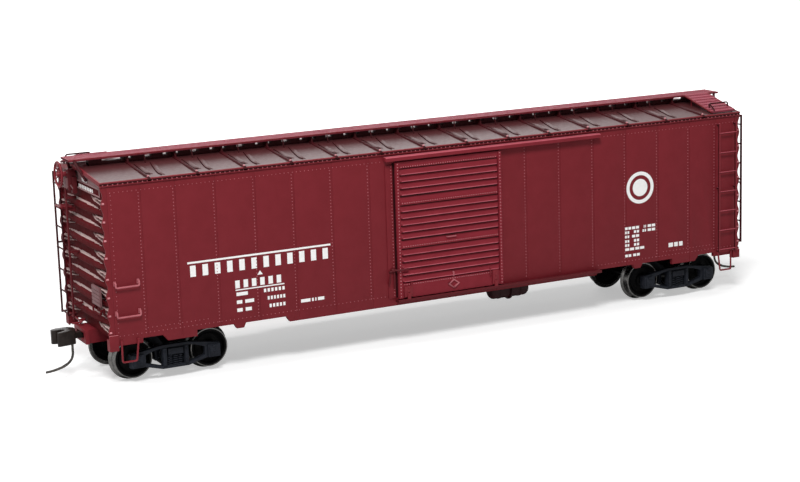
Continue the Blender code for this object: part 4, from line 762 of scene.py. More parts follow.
class Trees:
    """The Geometry Nodes trees that the sub-assemblies share."""

    def __init__(self) -> None:
        """Build each tree once."""
        self.domes = rivet_tree()
        self.grating = grating_tree()
        self.springs = spring_tree()
        self.repeats = repeat_tree()

    def rivets(self, name: str, rows: Sequence[tuple[Point, Point]], finish: Finish,
               body: str = "car", **sizes: float | Point) -> None:
        """Set rivets along straight rows on the near side, and their twins on the far side.

        Args:
            name: Name of both pieces, with {} for the side.
            rows: The first and last point of each row.
            finish: Surface of the rivets.
            body: The body that each rides on.
            **sizes: Pitch, Radius, Height and Facing where they differ from the tree's.
        """
        points = [point for row in rows for point in row]
        edges = [(index, index + 1) for index in range(0, len(points), 2)]
        mesh = self.domes.make(points, finish, edges, **sizes)
        place_twins(name, mesh, finish, body=body)


@dataclass
class Studio:
    """Camera, lamps and floor. The camera was fitted to the photograph's corners.

    A lamp is its name, place, width and power. The floor's glow grows between two distances from
    the car's middle, in metres, so that its edge joins the white background.
    """

    place: Point = (-224.90, -438.86, 126.23)
    azimuth: float = 26.601
    elevation: float = 11.894
    roll: float = -1.796
    lens: float = 87.64
    fill: float = 0.18
    lamps: tuple[tuple[str, Point, float, float], ...] = (
        ("key_lamp", (-230, -430, 560), 180, 3.7), ("left_lamp", (-400, 40, 560), 180, 1.5),
        ("edge_lamp", (270, -110, 560), 140, 0.25), ("back_lamp", (240, 640, 330), 460, 1.0))
    lamp_aim: Point = (0, 0, 28)
    floor_size: float = 6000.0
    glow_reach: Pair = (0.12, 0.42)
    least_glow: float = 0.45

    def build(self) -> None:
        """Make the camera, the world, the lamps and the floor."""
        self.camera()
        self.world()
        for name, place, size, power in self.lamps:
            self.lamp(name, place, size, power)
        self.floor()

    def camera(self) -> None:
        """Stand the camera where the photograph was taken from."""
        turn, tilt, roll = (math.radians(angle) for angle in
                            (self.azimuth, self.elevation, self.roll))
        ahead = Vector((math.cos(tilt) * math.sin(turn), math.cos(tilt) * math.cos(turn),
                        -math.sin(tilt)))
        right = Vector((math.cos(turn), -math.sin(turn), 0))
        up = right.cross(ahead)
        across = right * math.cos(roll) + up * math.sin(roll)
        upward = up * math.cos(roll) - right * math.sin(roll)
        data = bpy.data.cameras.new("camera")
        data.lens = self.lens
        data.sensor_width = 36
        data.clip_start, data.clip_end = 0.01, 20
        camera = new_object("camera", data)
        camera.matrix_world = Matrix.Translation(Vector(self.place) * MM) @ Matrix(
            (across, upward, -ahead)).transposed().to_4x4()
        bpy.context.scene.camera = camera

    def world(self) -> None:
        """White studio for the camera and for reflections, softer light for the object."""
        world = bpy.data.worlds.new("studio")
        bpy.context.scene.world = world
        world.use_nodes = True
        group, white = world.node_tree, (1, 1, 1, 1)
        seen = feed(group, group.nodes["Background"], {"Color": white, "Strength": 1})[0]
        cast = add_node(group, "ShaderNodeBackground", {"Color": white, "Strength": self.fill})[0]
        mixed = add_node(group, "ShaderNodeMixShader", {0: seen_rays(group), 1: cast, 2: seen})[0]
        feed(group, group.nodes["World Output"], {"Surface": mixed})

    def lamp(self, name: str, place: Point, size: float, power: float) -> None:
        """Add a square soft lamp that faces the car's middle."""
        data = bpy.data.lights.new(name, "AREA")
        data.energy = power
        data.size = size * MM
        lamp = new_object(name, data)
        aim = Vector(self.lamp_aim) - Vector(place)
        lamp.matrix_world = Matrix.Translation(Vector(place) * MM) @ aim.to_track_quat(
            "-Z", "Y").to_matrix().to_4x4()

    def floor(self) -> None:
        """White floor that keeps the car's soft shadow."""
        half = self.floor_size / 2
        mesh = bpy.data.meshes.new("floor_sheet")
        mesh.from_pydata([Vector(corner) * MM for corner in
                          ((-half, -half, 0), (half, -half, 0), (half, half, 0), (-half, half, 0))],
                         [], [(0, 1, 2, 3)])
        material = bpy.data.materials.new("studio_floor")
        material.use_nodes = True
        group = material.node_tree
        lit = feed(group, group.nodes["Principled BSDF"], {
            "Base Color": (0.8, 0.8, 0.8, 1), "Roughness": 0.9, "Specular IOR Level": 0})[0]
        place = add_node(group, "ShaderNodeTexCoord", {})["Object"]
        distance = add_node(group, "ShaderNodeVectorMath", {0: place}, operation="LENGTH")["Value"]
        fade = add_node(group, "ShaderNodeMapRange", {
            "Value": distance, "From Min": self.glow_reach[0], "From Max": self.glow_reach[1],
            "To Min": self.least_glow, "To Max": 1.0}, interpolation_type="SMOOTHSTEP")["Result"]
        to_camera = add_node(group, "ShaderNodeLightPath", {})["Is Camera Ray"]
        strength = add_node(group, "ShaderNodeMath", {0: to_camera, 1: fade},
                            operation="MULTIPLY")[0]
        glow = add_node(group, "ShaderNodeEmission", {"Color": (1, 1, 1, 1),
                                                      "Strength": strength})[0]
        summed = add_node(group, "ShaderNodeAddShader", {0: lit, 1: glow})[0]
        feed(group, group.nodes["Material Output"], {"Surface": summed})
        mesh.materials.append(material)
        floor = new_object("floor_sheet", mesh)
        floor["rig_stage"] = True


def seen_rays(group: NodeTree) -> NodeSocket:
    """1 for a ray that shows the background: to the camera, in a reflection or through glass."""
    rays = add_node(group, "ShaderNodeLightPath", {})
    total = rays["Is Camera Ray"]
    for name in ("Is Glossy Ray", "Is Transmission Ray"):
        total = add_node(group, "ShaderNodeMath", {0: total, 1: rays[name]}, operation="MAXIMUM")[0]
    return total


@dataclass
class Sides:
    """Side sheets: panels with lapped seams, rows of rivets and the door posts."""

    trees: Trees
    seams: tuple[float, ...] = (22.2, 32.3, 42.4, 52.4, 62.5, 72.5, 81.0)
    post_seam: float = 14.9
    groove_offset: float = 0.55
    groove: float = 0.16
    proud: float = 0.07
    seam_row_z: Pair = (13.1, 46.45)
    level_rows: tuple[tuple[float, float, float], ...] = (
        (-87.4, -18.3, 47.05), (46.6, 87.4, 47.05), (-87.0, -18.0, 13.1), (44.5, 87.0, 13.1),
        (-80.0, -65.0, 14.2), (65.0, 80.0, 14.2))
    end_row: Outline = field(default_factory=lambda: [(-87.3, 14.0), (-87.3, 46.4)])
    rivet_pitch: float = 0.8
    row_pitch: float = 1.05
    shift: float = 0.4
    post: Outline = field(default_factory=lambda: [(-17.05, -15.1), (16.45, 16.8)])
    edge: Outline = field(default_factory=lambda: [
        (43.886, 10.5), (44.826, 11.9), (55.38, 11.9), (55.888, 10.75), (57.695, 10.75),
        (58.418, 11.9), (67.89, 11.9), (67.89, 10.4), (75.206, 10.4), (76.441, 11.9),
        (81.4, 11.9), (81.4, 10.8), (87.403, 10.8), (87.403, 9.7), (88.2, 9.7)])

    def lower_edge(self, low: float, high: float) -> Outline:
        """The side's lower edge between two places along the car."""
        line = [(-x, z) for x, z in reversed(self.edge)] + self.edge

        def level(x: float) -> float:
            """Height of the edge at one place."""
            for (x0, z0), (x1, z1) in zip(line, line[1:]):
                if x0 <= x <= x1 and x1 > x0:
                    return z0 + (z1 - z0) * (x - x0) / (x1 - x0)
            return line[0][1]

        inside = [(x, z) for x, z in line if low < x < high]
        return [(low, level(low)), *inside, (high, level(high))]

    def build(self) -> None:
        """Make the panels and rivets of both sides."""
        wall = -CAR.half_width
        places = [x + self.shift for x in sorted([-x for x in self.seams] + list(self.seams))]
        grooves = [x + self.groove_offset for x in places]
        left = [-CAR.side_end_x, *[x for x in grooves if x < 0], self.post[0][1]]
        right = [CAR.door_half_width - 0.9, *[x for x in grooves if x > 0], CAR.side_end_x]
        panels = Shell()
        for stops in (left, right):
            for low, high in zip(stops, stops[1:]):
                low += self.groove / 2
                high -= self.groove / 2
                foot = [(x, z + 0.03) for x, z in self.lower_edge(low, high)]
                panels.prism([*foot, (high, CAR.side_top_z - 0.03), (low, CAR.side_top_z - 0.03)],
                             wall + 0.3, wall - self.proud, Plane.XZ)
        (low, high), (back, front) = self.post
        panels.box((low, -front, CAR.base_z), (high, -back, CAR.door_top_z - 0.6))
        place_twins("side_panels_{}", panels.mesh(0.02), BODY)
        face = wall - self.proud
        low_z, top_z = self.seam_row_z
        rows = [((x, face, low_z), (x, face, top_z)) for x in places]
        rows.append(((self.post_seam, face, 13.0), (self.post_seam, face, 46.0)))
        # The rivets take the lighter rivet paint: painted highlight.
        self.trees.rivets("seam_rivets_{}", rows, RIVET_HIGHLIGHT, Pitch=self.rivet_pitch, Radius=0.145,
                          Height=0.13)
        rows = [((start, face, z), (stop, face, z)) for start, stop, z in self.level_rows]
        rows.append(tuple((x, face, z) for x, z in self.end_row))
        self.trees.rivets("row_rivets_{}", rows, RIVET_HIGHLIGHT, Pitch=self.row_pitch, Radius=0.12)
        row = ((high - 0.35, -front, 13.2), (high - 0.35, -front, 45.6))
        self.trees.rivets("post_rivets_{}", [row], RIVET_HIGHLIGHT, Pitch=self.rivet_pitch, Radius=0.15)


@dataclass
class Ends:
    """Pressed ends: tapering ribs, darts between them at the corners, framed upper panel."""

    rib_count: int = 7
    first_rib_z: float = 16.1
    rib_pitch: float = 4.32
    rib_half_height: float = 1.35
    recess: float = 0.4
    rib_depth: float = 1.1
    rib_half_length: float = 15.6
    darts: tuple[tuple[float, float, float, float], ...] = (
        (-0.95, -0.45, 9.5, 0.36), (-1.15, -1.35, 11.5, 0.42))
    dart_depth: float = 0.75
    panel_z: Pair = (45.7, 47.95)
    panel_half_width: float = 15.0
    panel_depth: float = 0.4
    bolt_levels: tuple[float, ...] = (44.7, 40.4, 36.0, 31.9, 26.9, 22.5, 18.2, 14.2)
    wave_depth: float = 0.25
    post_wall: float = 0.42
    foot_width: float = 1.6
    foot_height: float = 2.8
    block_length: float = 2.2
    block_depth: float = 0.4

    def height(self, y: float, z: float) -> float:
        """How far the pressing stands out of the lowest part of the end's sheet at one place."""
        reach = abs(y) / self.rib_half_length
        taper = max(0.0, 1 - reach ** 2.4)
        most = 0.0
        for index in range(self.rib_count + 1):
            middle = self.first_rib_z + self.rib_pitch * index
            off = (z - middle) / (self.rib_half_height * (0.35 + 0.65 * taper))
            if abs(off) < 1 and index < self.rib_count:
                crest = min(1.0, 1.3 * (1 - abs(off) ** 1.5))
                most = max(most, self.rib_depth * (0.25 + 0.75 * taper) * crest)
            for start, slope, length, half in self.darts:
                share = min(max(1 - (CAR.half_width - abs(y)) / length, 0.0), 1.0)
                off = (z - middle - start - slope * share) / (half * (0.4 + 0.6 * share))
                if share > 0 and abs(off) < 1:
                    rise = min(1.0, share * 2.2)
                    most = max(most, self.dart_depth * rise * (1 - off * off))
        low, high = self.panel_z
        inside = min(z - low, high - z, self.panel_half_width - abs(y))
        above = smooth_step((z - low + 0.5) / 0.3)
        most = most * (1 - above) + self.recess * above
        if inside > 0:
            ridge = smooth_step(inside / 0.18) - 0.9 * smooth_step((inside - 0.3) / 0.15)
            most = self.recess + self.panel_depth * ridge
        return most

    def build(self) -> None:
        """Make the relief of one end, and its twin at the other."""
        inner = CAR.half_width - 0.35
        across = sorted(set(spread(-inner, inner, 0.4)
                            + [side * (self.panel_half_width - step)
                               for side in (-1, 1) for step in (-0.02, 0.1, 0.2, 0.32, 0.45)]))
        levels = spread(CAR.base_z, CAR.side_top_z, 0.1)
        base = CAR.end_face_x - self.recess
        front = [[(base + self.height(y, z), y, z) for y in across] for z in levels]
        back = [[(CAR.end_back_x, y, z) for y in across] for z in levels]
        end = Shell()
        end.relief(front, back)
        edge = CAR.half_width
        gable = CAR.roof_z(0) - 0.95
        end.prism([(-edge, CAR.side_top_z), (edge, CAR.side_top_z), (0, gable)], CAR.end_back_x,
                  CAR.end_face_x, Plane.YZ)
        low, top = self.panel_z
        frame_x = CAR.end_face_x + 0.2

        def part(face: MeshPolygon) -> int:
            """2 for the head and the panel's frame, in painted sheen; 1 for the upper faces of ribs
            and darts, in painted highlight; 0 for the rest, in painted shade.
            """
            x, _, z = face.center / MM
            return 2 if z > top - 0.1 or (z > low and x > frame_x) else int(face.normal.z > 0.8)

        # Lit and shaded copies of one paint by height and by which way a face turns: painted sheen,
        # highlight and shade.
        mesh = tone(end.mesh(sharp=55), (END_SHADE, END_RIB_HIGHLIGHT, END_HEAD_SHEEN), part)
        place_twins("end_sheet_{}", mesh, END_SHADE, "end_{}", twins=Twins.ENDS)
        self.build_corners()

    def build_corners(self) -> None:
        """Corner posts with waved edges, corner blocks and the bolts up the corners."""
        posts, blocks, bolts = Shell(), Shell(), Shell()
        outer = CAR.panel_face_y
        inner_x, foot_z = CAR.side_end_x + 0.02, CAR.base_z - self.foot_height
        crest = CAR.half_length - self.wave_depth
        wave = [(crest + self.wave_depth * math.cos(
            2 * math.pi * (z - self.bolt_levels[6]) / self.rib_pitch), z)
            for z in spread(CAR.base_z, CAR.side_top_z, 0.25)]
        outline = [(inner_x, CAR.side_top_z), (inner_x, CAR.base_z), *wave]
        for side, top in ((-1, CAR.base_z - 0.5), (1, CAR.base_z + 1.0)):
            posts.prism(outline, side * (outer - self.post_wall), side * outer, Plane.XZ)
            posts.box((inner_x, side * (outer - self.foot_width), foot_z),
                      (CAR.half_length, side * outer, CAR.base_z))
            blocks.box((CAR.half_length - self.block_length, side * (outer - 0.05), foot_z),
                       (CAR.half_length, side * (outer + self.block_depth), top))
            for level in self.bolt_levels:
                bolts.bar([(CAR.half_length - 0.75, side * (outer + 0.05), level),
                           (CAR.half_length - 0.2, side * (outer + 0.05), level)], 0.22, 8)
        place_twins("corner_posts_{}", posts.mesh(sharp=60), BODY, twins=Twins.ENDS)
        # The blocks' top faces and the bolts take the lighter bolt paint: painted highlight.
        mesh = tone(blocks.mesh(0.1), (BODY, BOLT_HIGHLIGHT), lambda face: int(face.normal.z > 0.5))
        place_twins("corner_blocks_{}", mesh, BODY, twins=Twins.ENDS)
        place_twins("corner_bolts_{}", bolts.mesh(), BOLT_HIGHLIGHT, twins=Twins.ENDS)


@dataclass
class Roof:
    """Roof sheets with seam caps, hooked beads and the recessed, bolted eave."""

    trees: Trees
    cap_width: float = 0.84
    cap_height: float = 0.4
    bead_width: float = 1.5
    bead_height: float = 0.34
    bead_paths: tuple[Outline, ...] = (
        [(1.5, -4.2), (1.45, -7.0), (1.3, -9.5), (1.2, -11.6), (1.35, -12.9), (2.1, -13.6)],
        [(5.6, -4.0), (5.0, -7.0), (4.5, -9.8), (4.1, -12.2), (4.0, -14.0), (4.4, -15.2)])
    bolt_pitch: float = 1.2

    def build(self) -> None:
        """Make the sheets, then what is pressed in or fixed on them."""
        edge, top = CAR.roof_half_width, CAR.side_top_z + 0.1
        half = [(0.25, CAR.roof_z(0) - 0.03), (edge - 0.3, CAR.roof_z(edge - 0.3)),
                (edge - 0.3, top + 0.1), (edge - 0.5, top + 0.1)]
        outline = half + [(0, CAR.roof_z(0) - 0.9)]
        outline += [(-y, z) for y, z in reversed(half)]
        sheet = Shell()
        sheet.prism(outline, -CAR.roof_half_length + 0.05, CAR.roof_half_length - 0.05, Plane.YZ)
        place_piece("roof_sheet", sheet.mesh(sharp=25), ROOF, "roof")
        lip = CAR.roof_z(edge)
        rim = [(edge - 0.55, CAR.roof_z(edge - 0.55) - 0.1), (edge - 0.5, CAR.roof_z(edge - 0.5)),
               (edge - 0.38, lip + 0.16), (edge - 0.12, lip + 0.16), (edge, lip + 0.02),
               (edge, lip - 0.16), (edge - 0.28, lip - 0.2), (edge - 0.28, top + 0.22),
               (edge, top + 0.2), (edge, top), (edge - 0.55, top)]
        eaves = Shell()
        eaves.prism([(-y, z) for y, z in rim], -CAR.roof_half_length, CAR.roof_half_length,
                    Plane.YZ)
        place_twins("roof_eave_{}", eaves.mesh(0.03), TRIM)
        gables = Shell()
        foot = CAR.roof_z(0) - 0.9
        for slope in (-1, 1):
            gables.prism([(slope * (edge - 0.3), CAR.roof_z(edge - 0.3) + 0.12),
                          (0, CAR.roof_z(0) + 0.12), (0, foot), (slope * (edge - 0.3), top + 0.05)],
                         CAR.roof_half_length - 0.35, CAR.roof_half_length + 0.02, Plane.YZ)
        place_twins("roof_gable_{}", gables.mesh(0.03), TRIM, twins=Twins.ENDS)
        # A dark strip set in the eave's recess: painted shadow under the roof's edge.
        stripe = Shell()
        stripe.box((-CAR.roof_half_length + 0.1, -edge + 0.25, top + 0.19),
                   (CAR.roof_half_length - 0.1, -edge + 0.4, lip - 0.17))
        place_twins("eave_recess_{}", stripe.mesh(), SHADE_MAROON)
        self.build_caps()
        self.build_beads()
        start, bolt_z = CAR.roof_half_length - 0.8, top + 0.32
        row = ((-start, -edge + 0.25, bolt_z), (start, -edge + 0.25, bolt_z))
        # The eave bolts take the lighter rivet paint: painted highlight.
        self.trees.rivets("eave_bolts_{}", [row], RIVET_HIGHLIGHT, Pitch=self.bolt_pitch, Radius=0.18,
                          Height=0.2)

    def build_caps(self) -> None:
        """Rounded caps over the seams, folded down at the eaves."""
        half = self.cap_width / 2
        section = [(-half, -0.2), (-half, 0.35), (-half * 0.6, 0.85), (0, 1.0), (half * 0.6, 0.85),
                   (half, 0.35), (half, -0.2)]
        edge = CAR.roof_half_width
        path = [(-edge - 0.06, -0.45), (-edge - 0.06, -0.2), (-edge + 0.1, 0.0)]
        path += [(y, 0.0) for y in (-edge / 2, -0.4, 0.4, edge / 2)]
        path += [(-y, drop) for y, drop in reversed(path[:3])]
        rings = []
        for y, drop in path:
            level = CAR.roof_z(min(abs(y), edge)) + drop
            rings.append([(x, y, level + self.cap_height * lift) for x, lift in section])
        cap = Shell()
        cap.skin(rings)
        seams = [(x, 0, 0) for x in CAR.seams()]
        # The caps take the shaded maroon: painted shade along the seams.
        mesh = self.trees.repeats.make(seams, SHADE_MAROON, shape=hidden_shape(cap))
        place_piece("roof_seam_caps", mesh, SHADE_MAROON)
        bolts = Shell()
        for side in (-1, 1):
            place = (0, side * (edge - 0.6), CAR.roof_z(edge - 0.6) + self.cap_height)
            bolts.bolt(place, (0, 0, 1), 0.3, 0.2, 0.24, foot=-0.15)
        # The bolt heads take the lighter bolt paint: painted highlight.
        mesh = self.trees.repeats.make(seams, BOLT_HIGHLIGHT, shape=hidden_shape(bolts))
        place_piece("roof_seam_bolts", mesh, BOLT_HIGHLIGHT)

    def build_beads(self) -> None:
        """Broad soft beads, hooked at their feet, in every panel but the end ones, each with a thin
        dark bar beside it as painted shadow.
        """
        beads, edges = Shell(), Shell()
        for outline in self.bead_paths:
            path = rounded([(x, y, 0) for x, y in outline], 1.2, 3)
            # A thin near-black bar beside each bead: painted shadow.
            edges.bar([(x - self.bead_width * 0.4, y, CAR.roof_z(y) + 0.06) for x, y, _ in path],
                      0.13, 6)
            rings = []
            for index, (x, y, _) in enumerate(path):
                one = Vector(path[max(index - 1, 0)])
                other = Vector(path[min(index + 1, len(path) - 1)])
                aside = (other - one).normalized().cross(Vector((0, 0, 1)))
                taper = min(1.0, 0.3 + 0.2 * min(index, len(path) - 1 - index))
                ring = []
                for across, lift in ((1, -0.3), (0.8, 0.05), (0.45, 0.45), (0.0, 0.85),
                                     (-0.4, 1.0), (-0.75, 0.75), (-0.9, 0.1), (-1, -0.3)):
                    spot = Vector((x, y, 0)) + aside * (across * self.bead_width * taper / 2)
                    ring.append((spot.x, spot.y,
                                 CAR.roof_z(spot.y) + self.bead_height * lift * taper))
                rings.append(ring)
            beads.skin(rings)
        places = [(x, 0, 0) for x in CAR.seams()[:-1]]
        mesh = self.trees.repeats.make(places, ROOF, shape=hidden_shape(beads, 80))
        place_twins("roof_beads_{}", mesh, ROOF)
        mesh = self.trees.repeats.make(places, GAP_SHADOW, shape=hidden_shape(edges))
        place_twins("roof_bead_folds_{}", mesh, GAP_SHADOW)


@dataclass
class RoofWalk:
    """Running board and lateral boards of fine grating on their supports."""

    trees: Trees
    bars: int = 9
    bar: float = 0.3
    cross_pitch: float = 0.62
    cross_bar: float = 0.3
    edge_thickness: float = 0.18
    lateral_bars: int = 8
    lateral_bar: float = 0.85
    lateral_x: Pair = (81.2, 88.6)
    lateral_outer_y: float = 15.8
    wire: float = 0.2
    window_shares: tuple[float, ...] = (0.06, 0.15, 0.38, 0.55, 0.79, 0.9)
    first_posts: tuple[float, ...] = (-87.0, -83.9, -78.1)
    last_posts: tuple[float, ...] = (82.8, 88.8)
    post_half_width: float = 0.9

    def build(self) -> None:
        """Make the boards, their edges and their supports."""
        length, width = 2 * CAR.board_end_x, 2 * CAR.board_half_width
        mesh = self.trees.grating.make([(0, 0, 0)], BOARD, Length=length, Width=width - 0.2,
                                       Thickness=0.5, Bar=self.bar, Cross_Bar=self.cross_bar,
                                       Bars=self.bars, Cross_Bars=round(length / self.cross_pitch))
        move(mesh, (0, 0, CAR.board_top_z - 0.27))
        place_piece("running_board_grating", mesh, BOARD, "running_board")
        frame_work = Shell()
        thin = self.edge_thickness
        for side in (-1, 1):
            frame_work.box(
                (-CAR.board_end_x, side * (CAR.board_half_width - thin), CAR.board_under_z),
                (CAR.board_end_x, side * CAR.board_half_width, CAR.board_top_z))
            frame_work.box((side * (CAR.board_end_x - thin), -CAR.board_half_width + 0.1,
                            CAR.board_under_z + 0.05),
                           (side * CAR.board_end_x, CAR.board_half_width - 0.1,
                            CAR.board_top_z - 0.03))
        place_piece("running_board_edges", frame_work.mesh(0.03), TRIM)
        supports = Shell()
        self.add_supports(supports)
        place_piece("running_board_supports", supports.mesh(0.03), SHADE_MAROON)
        self.build_laterals()

    def add_supports(self, shell: Shell) -> None:
        """Add saddles on the seam caps, brackets between them and braces at the ends, and dark
        blocks and a low strip under the board that stand for its supports and for painted shadow.
        """
        foot = CAR.board_half_width - 0.25
        for place in CAR.seams():
            half = [(foot, CAR.board_under_z + 0.1), (foot, CAR.board_under_z - 0.15),
                    (foot - 0.4, CAR.board_under_z - 0.35),
                    (foot - 0.35, CAR.roof_z(foot) + 0.62), (foot + 0.25, CAR.roof_z(foot) + 0.42),
                    (foot + 0.25, CAR.roof_z(foot) + 0.36), (0, CAR.roof_z(0) + 0.36)]
            outline = half + [(-y, z) for y, z in reversed(half[:-1])]
            shell.prism(outline, place - 0.22, place + 0.22, Plane.YZ)
        # Dark blocks between the windows and the low strip along the ridge: partly the board's
        # supports, partly painted shadow under it.
        places = list(self.first_posts)
        for place in CAR.seams():
            for share in self.window_shares:
                places.append(place + CAR.panel_pitch() * share)
        places = [*places[:-5], *self.last_posts]
        wide, ridge = self.post_half_width, CAR.roof_z(0)
        for low, high in zip(places[::2], places[1::2]):
            shell.box((low, -wide, ridge - 0.1), (high, wide, CAR.board_under_z + 0.05))
        wide -= 0.05
        shell.box((places[0], -wide, ridge - 0.1), (places[-1], wide, ridge + 0.6))
        for place in CAR.seams()[:-1]:
            x = place + CAR.panel_pitch() / 3
            for side in (-1, 1):
                shell.bar(rounded([(side * x, side * -foot, CAR.board_under_z + 0.1),
                                   (side * x, side * -foot, CAR.board_under_z - 0.25),
                                   (side * x, side * -(foot + 0.7),
                                    CAR.roof_z(foot + 0.7) - 0.1)], 0.2, 2), 0.16, 6)
        for end in (-1, 1):
            for side in (-1, 1):
                shell.bar([(end * (CAR.board_end_x - 1.3), side * foot, CAR.board_under_z + 0.1),
                           (end * (CAR.end_face_x + 0.32), side * 5.6, CAR.side_top_z - 0.1)], 0.36)

    def build_laterals(self) -> None:
        """Lateral boards that slope down to the eaves, with their hand holds."""
        low_x, high_x = self.lateral_x
        inner_y, outer_y = CAR.board_half_width + 0.1, self.lateral_outer_y
        inner_z = CAR.board_under_z + 0.3
        outer_z = CAR.roof_z(outer_y) + 0.5
        slope = math.atan2(inner_z - outer_z, outer_y - inner_y)
        span = math.hypot(inner_z - outer_z, outer_y - inner_y)
        mesh = self.trees.grating.make(
            [(0, 0, 0)], BOARD, Length=high_x - low_x, Width=span, Thickness=0.5,
            Bar=self.lateral_bar, Cross_Bar=0.28, Bars=self.lateral_bars, Cross_Bars=13)
        middle = ((low_x + high_x) / 2, -(inner_y + outer_y) / 2, (inner_z + outer_z) / 2)
        move(mesh, middle, slope, "X")
        place_twins("lateral_grating_{}", mesh, BOARD, "lateral_{}")
        rails = Shell()
        for x in (low_x, high_x):
            rails.bar([(x, -inner_y, inner_z), (x, -outer_y, outer_z)], 0.28, 6)
        for y in (inner_y + 2.5, outer_y - 0.5):
            for x in (low_x + 0.6, high_x - 0.6):
                rails.bar([(x, -y, outer_z + (outer_y - y) * math.tan(slope)),
                           (x, -y, CAR.roof_z(y) - 0.1)], 0.2, 6)
        place_twins("lateral_frame_{}", rails.mesh(sharp=50), TRIM)
        rise = 1.35
        left_x, rail_y, foot_y = low_x + 0.9, -outer_y + 2.4, -outer_y + 0.15

        def on_board(x: float, y: float, up: float) -> Point:
            """Point above the board."""
            return (x, y, outer_z + (y + outer_y) * math.tan(slope) + up)

        hold = Shell()
        hold.bar(rounded([on_board(left_x, foot_y, 0), on_board(left_x, foot_y, rise * 0.5),
                          on_board(left_x, rail_y, rise), on_board(high_x - 0.5, rail_y, rise),
                          on_board(high_x - 0.5, rail_y, 0)], 0.5), self.wire)
        hold.bar([on_board(left_x, rail_y, 0), on_board(left_x, rail_y, rise)], self.wire)
        # The hold takes the shaded maroon: painted shade.
        place_twins("lateral_hold_{}", hold.mesh(sharp=50), SHADE_MAROON)


